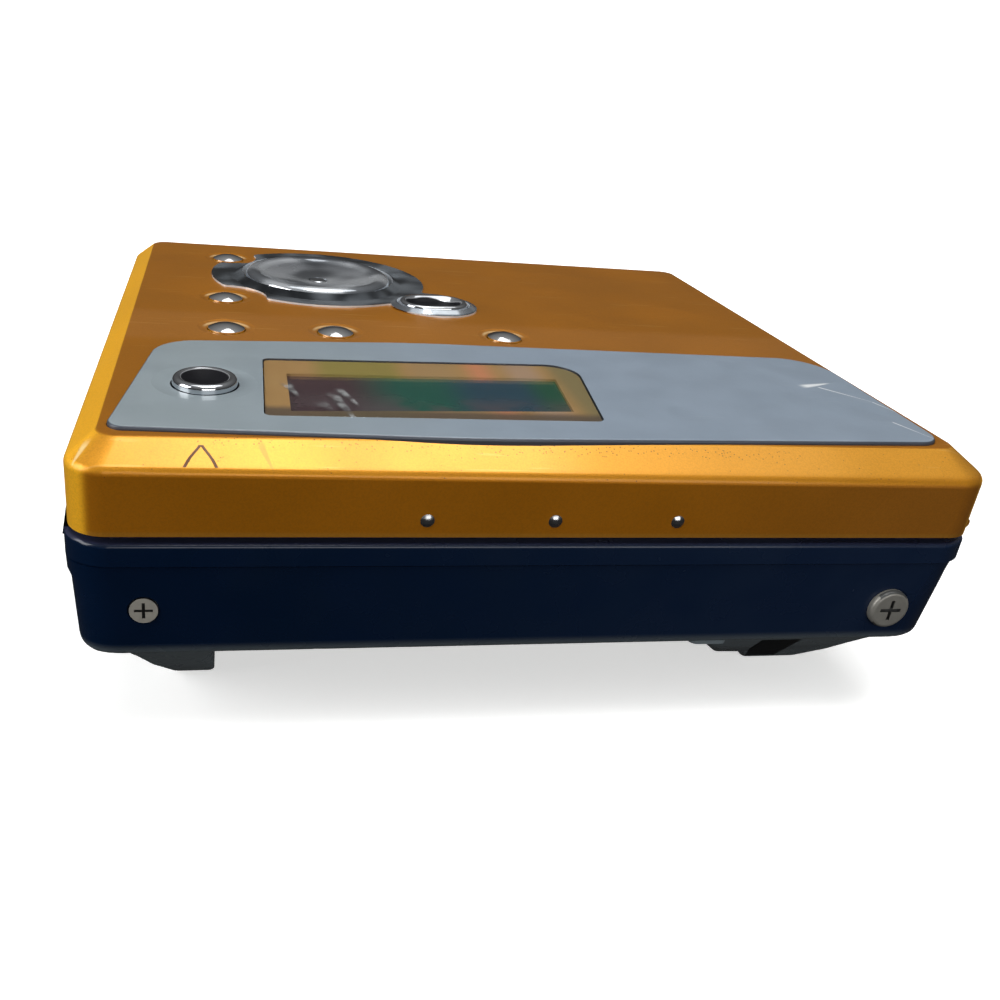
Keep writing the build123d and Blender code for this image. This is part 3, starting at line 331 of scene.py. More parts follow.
def gold_border():
    """Printed frame under the window: tan at the left and below, olive and rose along the top."""
    f = Finish("gold_border", (0.42, 0.32, 0.16), 0.38, metallic=0.4)
    base = f.mixed(f.noise(4 * MM, 2), (0.66, 0.38, 0.13), (0.74, 0.46, 0.18))
    patches = [("X", -20, -12, (0.5, 0.4, 0.1)), ("X", -11, -6.5, (0.66, 0.42, 0.18)),
               ("X", -5.0, -2.8, (1.0, 0.42, 0.2)), ("X", -1.0, 2.2, (0.72, 0.48, 0.3)),
               ("X", 3.6, 7.0, (0.42, 0.33, 0.14))]
    for axis, low, high, colour in patches:
        base = f.mixed(f.between(axis, low * MM, high * MM, 1.2 * MM), base, colour)
    near = f.between("Y", -34 * MM, -28.2 * MM, 0.8 * MM)
    base = f.mixed(f.math("MULTIPLY", near, 0.9), base, (0.19, 0.14, 0.095))
    f.colour(base)
    f.bump(f.noise(0.15 * MM, 2), 0.002 * MM, 0.3)
    return f.material


def display_glass():
    """Switched-off display: plum, then green-teal, then blue-violet, with a grey haze."""
    f = Finish("display_glass", (0.05, 0.05, 0.05), 0.16, Specular_IOR_Level=0.5)
    base = f.mixed(f.span(f.axis("X"), -18 * MM, -12 * MM), (0.075, 0.04, 0.046), (0.012, 0.11, 0.075))
    base = f.mixed(f.span(f.axis("X"), -9.5 * MM, -5 * MM), base, (0.02, 0.07, 0.105))
    base = f.mixed(f.span(f.axis("X"), -1.0 * MM, 2.0 * MM), base, (0.01, 0.10, 0.05))
    haze = f.math("MULTIPLY", f.span(f.axis("Y"), -22 * MM, -28 * MM), f.span(f.noise(5 * MM, 3), 0.35, 0.65))
    base = f.mixed(f.math("MULTIPLY", haze, 0.75), base, (0.12, 0.095, 0.10))
    f.colour(base)
    return f.material


def chrome():
    """Plain polished chrome."""
    tint = (0.62, 0.64, 0.67)
    f = Finish("chrome", tint, 0.04, metallic=1.0)
    f.colour(f.mixed(f.noise(3 * MM, 3), tint, tuple(0.82 * c for c in tint)))
    f.roughness(f.noise(1.2 * MM, 3), 0.04, 0.11)
    f.bump(f.noise(1.3 * MM, 2), 0.03 * MM, 0.6)
    f.bump(f.scratches(0.25 * MM, 4 * MM, 0.05, 0.7, 0.66), -0.003 * MM, 0.4)
    return f.material


def escutcheon_metal():
    """Dark plated metal with painted cloudy reflections and a pale painted highlight on its lip."""
    f = Finish("chrome_plate", (0.3, 0.33, 0.38), 0.12, metallic=1.0)
    # Painted reflections: cloudy patches of lighter and darker plate.
    reflection_cloud = f.span(f.noise(4.5 * MM, 1), 0.3, 0.7)
    base = f.mixed(reflection_cloud, (0.34, 0.38, 0.42), (0.1, 0.12, 0.145))
    # Painted highlight: the sloped lip in pale metal.
    lip = f.facing(0.93, 0.6)
    f.colour(f.mixed(lip, base, (0.8, 0.84, 0.88)))
    f.link(f.math("MULTIPLY", f.span(lip, 0.0, 1.0, 1.0, 0.35), f.span(reflection_cloud, 0.0, 1.0, 0.72, 1.0)),
           "Metallic")
    f.roughness(f.noise(1.2 * MM, 3), 0.07, 0.17)
    f.bump(f.noise(2.2 * MM, 2), 0.03 * MM, 0.5)
    return f.material


def cross_head():
    """Warm grey screw heads, with painted shade in the cross recesses of the two case screws."""
    f = Finish("cross_head", (0.5, 0.48, 0.42), 0.4, metallic=0.35)
    base = f.mixed(f.noise(0.5 * MM, 3), (0.40, 0.38, 0.33), (0.56, 0.53, 0.47))
    # Painted shade: near-black in the cross recesses of the two case screws.
    recess_shade = f.math("MULTIPLY", f.between("X", -36.2 * MM, -33.4 * MM, 0.05 * MM),
                  f.between("Y", -36.80 * MM, -36.55 * MM, 0.04 * MM))
    recess_shade_right = f.math("MULTIPLY", f.between("X", 32.4 * MM, 35.2 * MM, 0.05 * MM),
                        f.between("Y", -37.33 * MM, -36.9 * MM, 0.04 * MM))
    base = f.mixed(f.math("MAXIMUM", recess_shade, recess_shade_right), base, (0.02, 0.02, 0.02))
    f.colour(f.mixed(f.span(f.axis("X"), -30 * MM, -10 * MM, 0.0, 0.5), base, (0.14, 0.145, 0.14)))
    f.roughness(f.noise(0.4 * MM, 3), 0.32, 0.5)
    f.bump(f.noise(0.2 * MM, 2), 0.01 * MM, 0.5)
    return f.material


def button_chrome():
    """Polished cap with a painted reflection: a dark far half and a bright near half."""
    f = Finish("button_chrome", (0.8, 0.81, 0.83), 0.05, metallic=1.0)
    # Painted reflection: the far half dark, the near half bright.
    far = f.across_part(0.4, 0.6)
    f.colour(f.mixed(far, (0.86, 0.87, 0.88), (0.12, 0.125, 0.14)))
    f.roughness(f.noise(1.2 * MM, 3), 0.04, 0.12)
    f.bump(f.noise(1.0 * MM, 2), 0.04 * MM, 0.7)
    return f.material


def pad_chrome():
    """Pad: a painted dark reflection in the far part of its bowl, and painted cloudy reflections."""
    f = Finish("pad_chrome", (0.6, 0.62, 0.65), 0.07, metallic=1.0)
    # Painted reflections: cloudy lighter and darker patches.
    reflection_cloud = f.span(f.noise(6 * MM, 1), 0.35, 0.66)
    base = f.mixed(reflection_cloud, (0.72, 0.75, 0.78), (0.42, 0.45, 0.49))
    # Painted reflection: dark over the far part of the bowl's floor.
    dark = f.math("MULTIPLY", f.across_part(0.3, 0.9), f.facing(0.9, 0.99))
    f.colour(f.mixed(f.math("MULTIPLY", dark, 0.8), base, (0.13, 0.14, 0.16)))
    f.link(f.span(reflection_cloud, 0.0, 1.0, 0.62, 0.92), "Metallic")
    f.roughness(f.noise(2 * MM, 3), 0.05, 0.13)
    f.bump(f.noise(1.8 * MM, 2), 0.04 * MM, 0.6)
    return f.material


def dished_chrome(name, centre, reach):
    """Chrome wall round a black dish, an oval of that (x, y) reach in metres."""
    f = Finish(name, (0.66, 0.68, 0.71), 0.08, metallic=1.0)
    off = f.node("ShaderNodeVectorMath", {0: f.place, 1: (*centre, DISH_TOP * MM)}, operation="SUBTRACT")
    oval = f.node("ShaderNodeVectorMath", {0: off.outputs["Vector"], 1: (1 / reach[0], 1 / reach[1], 0)},
                  operation="MULTIPLY")
    out = f.node("ShaderNodeVectorMath", {0: oval.outputs["Vector"]}, operation="LENGTH")
    dish = f.span(out.outputs["Value"], 1.04, 0.94)
    near = f.mixed(f.noise(1.5 * MM, 2), (0.78, 0.8, 0.82), (0.5, 0.52, 0.56))
    f.colour(f.mixed(dish, near, (0.008, 0.008, 0.01)))
    f.link(f.span(dish, 0.0, 1.0, 1.0, 0.0), "Metallic")
    f.link(f.span(dish, 0.0, 1.0, 0.07, 0.5), "Roughness")
    f.link(f.span(dish, 0.0, 1.0, 0.5, 0.08), "Specular IOR Level")
    f.bump(f.noise(1.3 * MM, 2), 0.03 * MM, 0.5)
    return f.material


def moulded(name, colour, rough, grain=0.12):
    """Plain moulded plastic with a fine grain."""
    f = Finish(name, colour, rough)
    f.colour(f.mixed(f.noise(4 * MM, 3), colour, tuple(0.8 * c for c in colour)))
    f.roughness(f.noise(2 * MM, 3), rough - 0.06, rough + 0.08)
    f.bump(f.noise(grain * MM, 2), 0.004 * MM, 0.5)
    return f.material


def rolled_metal(name, colour, rough, grain_axis="X"):
    """Rolled or turned metal: fine lines along one axis and faint clouding."""
    f = Finish(name, colour, rough, metallic=1.0)
    stretch = {"X": (30, 1500, 1500), "Y": (1500, 30, 1500), "Z": (1500, 1500, 30)}[grain_axis]
    lines = f.node("ShaderNodeTexNoise", {"Vector": f.moved(scale=stretch), "Scale": 1.0, "Detail": 2.0})
    f.colour(f.mixed(f.noise(5 * MM, 3), colour, tuple(0.82 * c for c in colour)))
    f.roughness(lines.outputs["Fac"], rough - 0.07, rough + 0.1)
    f.bump(lines.outputs["Fac"], 0.002 * MM, 0.5)
    return f.material


def circuit_board():
    """Green solder mask over copper tracks, with tinned pads."""
    f = Finish("circuit_board", (0.02, 0.14, 0.06), 0.35, coat=0.3, coat_roughness=0.15)
    tracks = f.node("ShaderNodeTexBrick", {"Vector": f.place, "Scale": 1 / (3.2 * MM), "Mortar Size": 0.06,
                                           "Color1": (0, 0, 0, 1), "Color2": (0, 0, 0, 1),
                                           "Mortar": (1, 1, 1, 1)}, offset=0.37)
    base = f.mixed(tracks.outputs["Fac"], (0.012, 0.1, 0.045), (0.03, 0.2, 0.08))
    pads = f.math("MULTIPLY", f.spots(1.7 * MM, 0.3 * MM), f.span(f.noise(6 * MM, 1), 0.5, 0.54))
    base = f.mixed(pads, base, (0.6, 0.58, 0.52))
    f.colour(base)
    f.bump(tracks.outputs["Fac"], 0.02 * MM, 0.5)
    f.link(pads, "Metallic")
    return f.material


def lens_coating():
    """Violet anti-reflection coating."""
    f = Finish("lens_coating", (0.18, 0.22, 0.5), 0.06, coat=1.0, Specular_IOR_Level=0.8)
    f.colour(f.mixed(f.noise(1 * MM, 1), (0.1, 0.14, 0.4), (0.28, 0.16, 0.45)))
    return f.material


PAINT = pearl_paint()
NAVY = navy_gloss()
FILM = strip_film()
CHROME = chrome()
CHROME_PLATE = escutcheon_metal()
BLACK = moulded("black_plastic", (0.012, 0.012, 0.014), 0.42)
WHITE = moulded("white_plastic", (0.62, 0.62, 0.58), 0.4)
SHEET = rolled_metal("zinc_sheet", (0.55, 0.56, 0.58), 0.34)
ALUMINIUM = rolled_metal("aluminium_sheet", (0.66, 0.67, 0.68), 0.38)
GROUND = rolled_metal("ground_steel", (0.62, 0.62, 0.63), 0.22)
SCREW = cross_head()
CONTACT = rolled_metal("nickel_spring", (0.6, 0.58, 0.5), 0.25, "Y")
BOARD = circuit_board()
CHIP = moulded("chip_resin", (0.02, 0.02, 0.022), 0.5, 0.08)
LENS = lens_coating()
GROUP_CHROME = dished_chrome("group_chrome", (-30.2 * MM, -23.0 * MM), (2.15 * MM, 2.15 * MM))
STOP_CHROME = dished_chrome("stop_chrome", (-4.0 * MM, 7.5 * MM), (3.5 * MM, 2.0 * MM))
BUTTON_CHROME = button_chrome()
PAD_CHROME = pad_chrome()
GROOVE = moulded("groove_brown", (0.16, 0.06, 0.01), 0.5)
# Painted shade: near-black for the pocket in the right foot.
POCKET_SHADE = moulded("pocket_shade_black", (0.002, 0.002, 0.003), 0.6)
CERAMIC = moulded("ceramic_tan", (0.3, 0.2, 0.12), 0.45)

NODE_FINISH = {
    PAINT: ["lid_cover", "open_slider"],
    SCREW: ["case_screws", "deck_screws", "lid_screws"],
    BLACK: ["lid_inner_frame", "turntable", "pickup_sled", "shaft_supports", "phones_jack", "line_in_jack",
            "dc_in_jack", "hold_slider"],
    SHEET: ["latch_hook", "chassis_deck", "spindle_motor", "gear_bracket", "sled_motor", "usb_socket"],
    FILM: ["display_panel"],
    CHROME_PLATE: ["control_plate"],
    CHROME: ["play_button"],
    PAD_CHROME: ["control_pad"],
    STOP_CHROME: ["stop_button"],
    BUTTON_CHROME: [f"round_button_{n}" for n in range(1, 6)],
    GROUP_CHROME: ["group_button"],
    WHITE: ["pad_saddles", "pad_gimbal", "screw_gear", "idler_gear", "motor_pinion"],
    BOARD: ["switch_board", "main_board"],
    CHIP: ["board_chips"],
    CONTACT: ["tact_switches", "battery_contact_minus", "battery_contact_plus"],
    NAVY: ["upper_frame", "lower_case", "battery_door"],
    GROUND: ["lid_rivets", "hinge_pins", "battery_door_pin", "guide_shaft", "lead_screw"],
    ALUMINIUM: ["disc_holder"],
    LENS: ["objective_lens"],
    clear_window(): ["display_window"],
    gold_border(): ["display_bezel"],
    display_glass(): ["lcd_module"],
}
for finish, names in NODE_FINISH.items():
    for name in names:
        mesh = nodes[name].data
        mesh.materials.clear()
        mesh.materials.append(finish)
undressed = set(nodes) - {name for names in NODE_FINISH.values() for name in names}
assert not undressed, undressed


# ------------------------------------------------------------------ pieces

def smoothed(data, degrees=32):
    """Smooth shading with creases where faces meet at more than that angle."""
    data.polygons.foreach_set("use_smooth", [True] * len(data.polygons))
    data.set_sharp_from_angle(angle=math.radians(degrees))


def placed(name, data, body, replaced=()):
    """The mesh as a piece that rides on the body and stands for the replaced nodes."""
    piece = bpy.data.objects.new(name, data)
    bpy.context.scene.collection.objects.link(piece)
    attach(piece, body)
    if replaced:
        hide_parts(*replaced)
    return piece


def built(name, mesh, finish, body, replaced=(), degrees=32):
    """A piece from a bmesh whose corners are in millimetres."""
    bmesh.ops.recalc_face_normals(mesh, faces=mesh.faces)
    bmesh.ops.scale(mesh, vec=(MM, MM, MM), verts=mesh.verts)
    data = bpy.data.meshes.new(name)
    mesh.to_mesh(data)
    mesh.free()
    data.materials.append(finish)
    smoothed(data, degrees)
    return placed(name, data, body, replaced)


def ramp(value, table):
    """Straight lines between the (value, result) pairs of a rising table."""
    for (low, a), (high, b) in zip(table, table[1:]):
        if value <= high:
            return a + (b - a) * min(max((value - low) / (high - low), 0.0), 1.0)
    return table[-1][1]


def node_normals(mesh, source):
    """Shading normals for the mesh's corners, face by face, read off the surface it was cut from."""
    surface = BVHTree.FromPolygons([v.co for v in source.vertices], [p.vertices for p in source.polygons])
    found = []
    for face in mesh.faces:
        _, _, index, _ = surface.find_nearest(face.calc_center_median())
        polygon = source.polygons[index]
        outline = [source.vertices[i].co for i in polygon.vertices]
        shades = [source.corner_normals[i].vector for i in polygon.loop_indices]
        for loop in face.loops:
            weights = poly_3d_calc(outline, loop.vert.co)
            found.append(sum((w * n for w, n in zip(weights, shades)), Vector()).normalized())
    return found


def reshaped(name, node, body, move, cuts=(), trim=None):
    """A new piece on the node's own outline, in millimetres: first cut across at the heights, then moved."""
    mesh = bmesh.new()
    mesh.from_mesh(nodes[node].data)
    for height in cuts:
        everything = list(mesh.verts) + list(mesh.edges) + list(mesh.faces)
        bmesh.ops.bisect_plane(mesh, geom=everything, plane_co=(0, 0, height * MM), plane_no=(0, 0, 1))
    if trim:
        trim(mesh)
    normals = node_normals(mesh, nodes[node].data)
    for corner in mesh.verts:
        corner.co = Vector(move(*(corner.co / MM))) * MM
    data = bpy.data.meshes.new(name)
    mesh.to_mesh(data)
    mesh.free()
    data.materials.append(nodes[node].data.materials[0])
    data.polygons.foreach_set("use_smooth", [True] * len(data.polygons))
    data.normals_split_custom_set(normals)
    return placed(name, data, body, (node,))


def skinned(mesh, rings, closed=False, caps=False):
    """Faces between rings of corners in millimetres; all rings have the same number of corners."""
    loops = [[mesh.verts.new(corner) for corner in ring] for ring in rings]
    pairs = list(zip(loops, loops[1:]))
    if closed:
        pairs.append((loops[-1], loops[0]))
    for low, high in pairs:
        for i in range(len(low)):
            j = (i + 1) % len(low)
            mesh.faces.new((low[i], low[j], high[j], high[i]))
    if caps:
        mesh.faces.new(loops[0])
        mesh.faces.new(loops[-1])


def circle(x, y, radius, z, steps=96):
    """Level ring of corners."""
    turn = 2 * math.pi / steps
    return [(x + radius * math.cos(i * turn), y + radius * math.sin(i * turn), z) for i in range(steps)]


def lathe(x, y, half, closed=False):
    """Solid of revolution about the vertical through (x, y), from (radius, height) pairs."""
    mesh = bmesh.new()
    skinned(mesh, [circle(x, y, radius, z) for radius, z in half], closed=closed, caps=not closed)
    return mesh


def stadium(x, y, turn, length, width, z, steps=24):
    """Ring of corners round a slot shape, turned by that many degrees."""
    radius, reach = width / 2, (length - width) / 2
    angle = math.radians(turn)
    ring = []
    for side in (1, -1):
        for i in range(steps + 1):
            a = -math.pi / 2 + math.pi * i / steps
            u, v = side * (reach + radius * math.cos(a)), side * radius * math.sin(a)
            ring.append((x + u * math.cos(angle) - v * math.sin(angle),
                         y + u * math.sin(angle) + v * math.cos(angle), z))
    return ring


def arc(centre, radius, start, end, steps=8):
    """(radius, height) pairs along an arc in a half section, angles in degrees."""
    angles = [math.radians(start + (end - start) * i / steps) for i in range(steps + 1)]
    return [(centre[0] + radius * math.cos(a), centre[1] + radius * math.sin(a)) for a in angles]


def dish(radius, low, high, inner=0.0, steps=10):
    """(radius, height) pairs up the inside of a shallow bowl."""
    spots = [inner + (radius - inner) * i / steps for i in range(steps + 1)]
    return [(r, low + (high - low) * (r / radius) ** 2) for r in spots]


def raised_plate(x, y, z):
    """The escutcheon's bore drawn in to the smaller pad, with a low sloped collar round it."""
    out_x, out_y = x - PAD[0], y - PAD[1]
    reach = math.hypot(out_x, out_y)
    if 9.0 < reach < 9.9:
        lip = z > 27.78
        wanted = 9.55 if lip else 9.3
        return PAD[0] + out_x * wanted / reach, PAD[1] + out_y * wanted / reach, 28.68 if lip else z
    return x, y, z + 0.1 if z > 28.0 else z


def top_pieces():
    """Control pad, collars and button caps, which a lathe or a skin draws better than the solid."""
    reshaped("escutcheon", "control_plate", "lid", raised_plate)
    collar = bmesh.new()
    skinned(collar, [stadium(*STOP, 10.4, 7.8, 28.27), stadium(*STOP, 9.3, 6.7, 28.66),
                     stadium(*STOP, 9.0, 6.4, 28.62), stadium(*STOP, 8.8, 6.2, 28.2)])
    built("stop_collar", collar, CHROME_PLATE, "lid")
    rim = [(7.35, 28.86), (7.7, 29.0), (8.05, 29.07), (8.4, 29.04), (8.72, 28.9), (8.98, 28.65),
           (9.1, 28.35)]
    pad = lathe(*PAD, dish(6.9, 27.95, 28.64, inner=1.2) + rim
                + [(9.1, 26.4), (7.9, 26.4), (7.9, 27.4), (1.2, 27.4)], closed=True)
    built("pad_cap", pad, PAD_CHROME, "pad", ("control_pad",))
    play = lathe(*PAD, [(0.02, 26.1), (1.1, 26.1), (1.1, 26.9), (1.9, 26.9), (1.9, 27.3), (1.1, 27.3)]
                 + arc((0.85, 27.76), 0.25, 0, 90) + [(0.02, 28.02)])
    built("play_cap", play, CHROME, "play", ("play_button",))
    stop = bmesh.new()
    skinned(stop, [stadium(*STOP, 0.9, 0.3, 28.28), stadium(*STOP, 5.8, 3.2, 28.32),
                   stadium(*STOP, 7.0, 4.4, 28.86), stadium(*STOP, 7.3, 4.7, 28.92),
                   stadium(*STOP, 7.9, 5.3, 28.9), stadium(*STOP, 8.2, 5.6, 28.78),
                   stadium(*STOP, 8.3, 5.7, 28.6), stadium(*STOP, 8.3, 5.7, 26.9),
                   stadium(*STOP, 2.4, 2.0, 26.1)], caps=True)
    built("stop_cap", stop, STOP_CHROME, "stop", ("stop_button",), degrees=40)
    group = lathe(*GROUP, dish(2.1, 28.3, 28.96, inner=0.02) + arc((2.4, 28.6), 0.46, 120, 0)
                  + [(2.88, 26.65), (3.4, 26.65), (3.4, 26.25), (1.2, 26.25), (1.2, 26.1), (0.02, 26.1)])
    built("group_cap", group, GROUP_CHROME, "group", ("group_button",))


def mask_opening(x, y, z):
    """Printed mask just under the pane; its opening's far and near edges lean as in the photograph."""
    height = 28.29 if z > 27.2 else 28.0
    if -23.3 < x < 4.3 and -28.9 < y < -16.9:
        along = (x + 23) / 27
        y = (-19.5 + 1.1 * along) if y > -23 else (-29.1 + 1.8 * along)
        x = min(x, 3.6)
    return x, y, height


def window_pieces():
    """Pane, printed mask and display, each at its own height."""
    reshaped("window_pane", "display_window", "lid",
             lambda x, y, z: (x, y, ramp(z, [(27.6, 28.3), (28.18, 28.36), (28.3, 28.43)])))
    reshaped("window_mask", "display_bezel", "lid", mask_opening)
    reshaped("display_module", "lcd_module", "lid", lambda x, y, z: (x, y, 28.02 if z > 26.7 else z))


def out_sideways(x, left, right, start=36.0, full=38.0):
    """x moved outwards by that much beyond full on its own side, easing in from start."""
    share = ramp(abs(x), [(start, 0.0), (full, 1.0)])
    return x - left * share if x < 0 else x + right * share


def case_form(x, y, z):
    """Tub with fuller sides and a slightly lower floor."""
    left = ramp(z, [(8.65, 40.3), (15.6, 40.68), (16.4, 40.95), (17.65, 41.0)])
    right = ramp(z, [(8.65, 39.5), (15.6, 40.3), (16.4, 40.35), (17.65, 40.55)])
    old = ramp(z, [(9.0, 0.0), (17.65, 1.0)])
    x = out_sideways(x, left - 39.7 - 0.75 * old, right - 38.9 - 1.45 * old)
    if y < 18:
        z -= 0.35 * ramp(z, [(8.6, 0.0), (8.9, 1.0), (9.6, 1.0), (12.0, 0.0)])
    return x, y, z


def without_feet(mesh):
    """Takes the node's own feet off the tub, where the finer ones go."""
    behind_feet = -9.0
    for place, normal in (((0, 0, FEET_CUT), (0, 0, 1)), ((0, behind_feet, 0), (0, 1, 0))):
        everything = list(mesh.verts) + list(mesh.edges) + list(mesh.faces)
        bmesh.ops.bisect_plane(mesh, geom=everything, plane_co=Vector(place) * MM, plane_no=normal)
    under = []
    for face in mesh.faces:
        x, y, z = face.calc_center_median() / MM
        small_boss = 14.9 < x < 19.0 and y < -31.9  # beside the right foot, and it stays
        if z < FEET_CUT - 0.01 and y < behind_feet and not small_boss:
            under.append(face)
    bmesh.ops.delete(mesh, geom=under, context="FACES")


def foot_front(z):
    """How far forward a foot reaches at that height."""
    return -26.5 - 1.0105 * z


def foot_rings(inner, outer):
    """Level outlines of a foot from the ground up: inner and outer are its (height, x) tables."""
    rings = []
    for z, shrink in ((0.0, 0.45), (0.08, 0.2), (0.3, 0.05), (0.55, 0.0), (2.8, 0.0), (3.05, 0.0), (5.2, 0.0),
                      (6.5, 0.0), (8.1, 0.0), (9.4, 0.0)):
        x0, x1 = sorted((ramp(z, inner), ramp(z, outer)))
        y0, y1 = foot_front(z), -17.5 + z
        x0, x1, y0, y1 = x0 + shrink, x1 - shrink, y0 + shrink, y1 - shrink
        round_r, ring = ramp(z, [(3.1, 0.5), (9.4, 4.0)]), []
        for cx, cy, start in ((x1, y1, 0), (x0, y1, 90), (x0, y0, 180), (x1, y0, 270)):
            for i in range(5):
                a = math.radians(start + 22.5 * i)
                mid_x = cx - math.copysign(round_r, cx - (x0 + x1) / 2)
                mid_y = cy - math.copysign(round_r, cy - (y0 + y1) / 2)
                ring.append((mid_x + round_r * math.cos(a), mid_y + round_r * math.sin(a), z))
        rings.append(ring)
    return rings


def rim_form(x, y, z):
    """Rim band a little wider and higher than the lid's edge."""
    if z > 19.85:
        return x, y, z
    return out_sideways(x, 0.38, 0.38, 38.9, 40.2), y, z + (0.13 if 19.3 < z and abs(x) > 39.3 else 0)


def case_pieces():
    """Tub, feet and rim band, and the knobs and jack collars that follow the fuller sides."""
    reshaped("case_tub", "lower_case", "base", case_form, cuts=SHOULDER, trim=without_feet)
    feet = (("left", [(0, -29.25), (5.2, -29.25), (8.1, -27.4)], [(0, -33.0), (5.0, -36.2), (9.5, -39.9)]),
            ("right", [(0, 27.0), (2.8, 24.7), (3.05, 21.5), (6.5, 17.6), (9.5, 17.4)],
             [(0, 32.9), (5.0, 35.9), (9.5, 39.2)]))
    for side, inner, outer in feet:
        foot = bmesh.new()
        skinned(foot, foot_rings(inner, outer), caps=True)
        built(side + "_foot", foot, NAVY, "base", degrees=30)
    reshaped("rim_band", "upper_frame", "base", rim_form)
    for node in ("phones_jack", "line_in_jack", "dc_in_jack", "usb_socket"):
        reshaped(node + "_collar", node, "base",
                 lambda x, y, z: (out_sideways(x, 0.5, 0, 38.45, 39.4), y, z))
    reshaped("hold_knob", "hold_slider", "hold_switch",
             lambda x, y, z: (out_sideways(x, 0.3, 0, 39, 40), y, z))
    reshaped("open_knob", "open_slider", "opener",
             lambda x, y, z: (out_sideways(x, 0, 0.28, 39.6, 40.4), y, z))
    painted_pocket_shade()


def painted_pocket_shade():
    """Near-black sheet on the front slope of the right foot: painted shade standing for a pocket."""
    shade_sheet = bmesh.new()
    outline = [(26.6, 1.0), (30.0, 1.0), (27.9, 7.4), (23.6, 7.4), (24.9, 3.9)]
    rings = []
    for lift, grow in ((0.03, 0.0), (0.05, 0.05), (0.05, 0.6)):
        ring = []
        for x, z in outline:
            x, z = x + (27.0 - x) * grow * 0.3, z + (4.0 - z) * grow * 0.3
            ring.append((x, foot_front(z) - lift, z))
        rings.append(ring)
    skinned(shade_sheet, rings, caps=True)
    built("foot_pocket_shade", shade_sheet, POCKET_SHADE, "base")


def groove_mark():
    """Engraved peak-shaped outline on the front bevel, near its left end, laid on the lid's own surface."""
    lid = BVHTree.FromPolygons([v.co for v in nodes["lid_cover"].data.vertices],
                               [p.vertices for p in nodes["lid_cover"].data.polygons])
    half, lift, steps = 0.135, 0.014, 14
    mesh = bmesh.new()
    for side in (-1, 1):
        rows = []
        for i in range(steps + 1):
            share = i / steps
            bow = 0.12 * math.sin(math.pi * share)
            x = -30.24 + side * (0.06 + (1.22 - 0.06) * share + bow)
            y = -35.42 - 1.42 * share + 0.1 * (1 - share) ** 8
            row = []
            for offset, height in ((-half, 0.0), (0.0, lift), (half, 0.0)):
                spot, normal, _, _ = lid.ray_cast(Vector((x + offset, y, 30)) * MM, Vector((0, 0, -1)))
                row.append(mesh.verts.new((spot + normal * (height + 0.004) * MM) / MM))
            rows.append(row)
        for low, high in zip(rows, rows[1:]):
            for i in range(2):
                mesh.faces.new((low[i], low[i + 1], high[i + 1], high[i]))
    built("bevel_groove", mesh, GROOVE, "lid")


def screw_thread():
    """Two-start thread round the lead screw: 2 mm of travel a turn, 1 mm between ridges."""
    low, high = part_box("lead_screw")
    centre = (low + high) / (2 * MM)
    x0, x1 = low.x / MM + 0.4, min(high.x / MM - 4.0, 30.0)
    steps = int((x1 - x0) * 14)
    mesh = bmesh.new()
    for start in (0.0, math.pi):
        rings = []
        for i in range(steps + 1):
            x = x0 + (x1 - x0) * i / steps
            angle = start + math.pi * (x - x0)
            ring = []
            for radius, shift in ((0.86, -0.3), (1.02, -0.08), (1.02, 0.08), (0.86, 0.3)):
                ring.append((x + shift, centre.y + radius * math.cos(angle),
                             centre.z + radius * math.sin(angle)))
            rings.append(ring)
        skinned(mesh, rings, caps=True)
    built("screw_thread", mesh, GROUND, "screw")


def block(mesh, x, y, z, size, crown=0.08):
    """Small box with a drawn-in top edge."""
    a, b, c = size[0] / 2, size[1] / 2, size[2]
    rings = []
    for inset, height in ((0, 0), (0, c - crown), (crown, c)):
        rings.append([(x + u * (a - inset), y + v * (b - inset), z + height)
                      for u, v in ((-1, -1), (1, -1), (1, 1), (-1, 1))])
    skinned(mesh, rings, caps=True)


CHIPS = [(-19, 8, 10, 10), (-17.75, -12, 10.5, 10), (-15, -28.5, 12, 7), (4.5, -30, 9, 6), (18, 16, 10, 4.6),
         (-6, 15, 6, 5)]


def board_details():
    """Pins round the chips, and rows of small parts with tinned ends on the board."""
    pins, bodies, ends = bmesh.new(), bmesh.new(), bmesh.new()
    for x, y, width, depth in CHIPS:
        for side in (-1, 1):
            for i in range(int(width / 0.8) - 1):
                block(pins, x - width / 2 + 0.8 * (i + 1), y + side * (depth / 2 + 0.35), BOARD_TOP,
                      (0.3, 0.8, 0.25), 0.05)
            for i in range(int(depth / 0.8) - 1):
                block(pins, x + side * (width / 2 + 0.35), y - depth / 2 + 0.8 * (i + 1), BOARD_TOP,
                      (0.8, 0.3, 0.25), 0.05)
    rows = [(-9.0, 6.5, 6), (-10.0, -9.5, 5), (-26.5, -2.0, 4), (-2.0, -22.5, 5), (11.0, -26.2, 3),
            (10.0, 9.0, 4)]
    for x, y, count in rows:
        for i in range(count):
            left = x + 1.9 * i
            block(bodies, left, y, BOARD_TOP, (0.75, 0.72, 0.45), 0.06)
            for side in (-1, 1):
                block(ends, left + side * 0.5, y, BOARD_TOP, (0.26, 0.76, 0.48), 0.05)
    built("chip_pins", pins, CONTACT, "base")
    built("small_parts", bodies, CERAMIC, "base")
    built("small_part_ends", ends, CONTACT, "base")


def under_screws():
    """Four cross-head screws under the case, sunk in their own rims."""
    mesh = bmesh.new()
    for x, y in ((-22.0, -33.2), (12.0, -33.2), (-36.4, 16.0), (35.6, 16.0)):
        half = [(0.02, 8.52), (0.95, 8.5), (1.15, 8.58), (1.2, 8.75)]
        skinned(mesh, [circle(x, y, radius, z, 32) for radius, z in half], caps=True)
        for turn in (0, 90):
            skinned(mesh, [stadium(x, y, turn, 1.3, 0.26, 8.495, 6), stadium(x, y, turn, 1.1, 0.1, 8.47, 6)],
                    caps=True)
    built("under_screws", mesh, SCREW, "base")


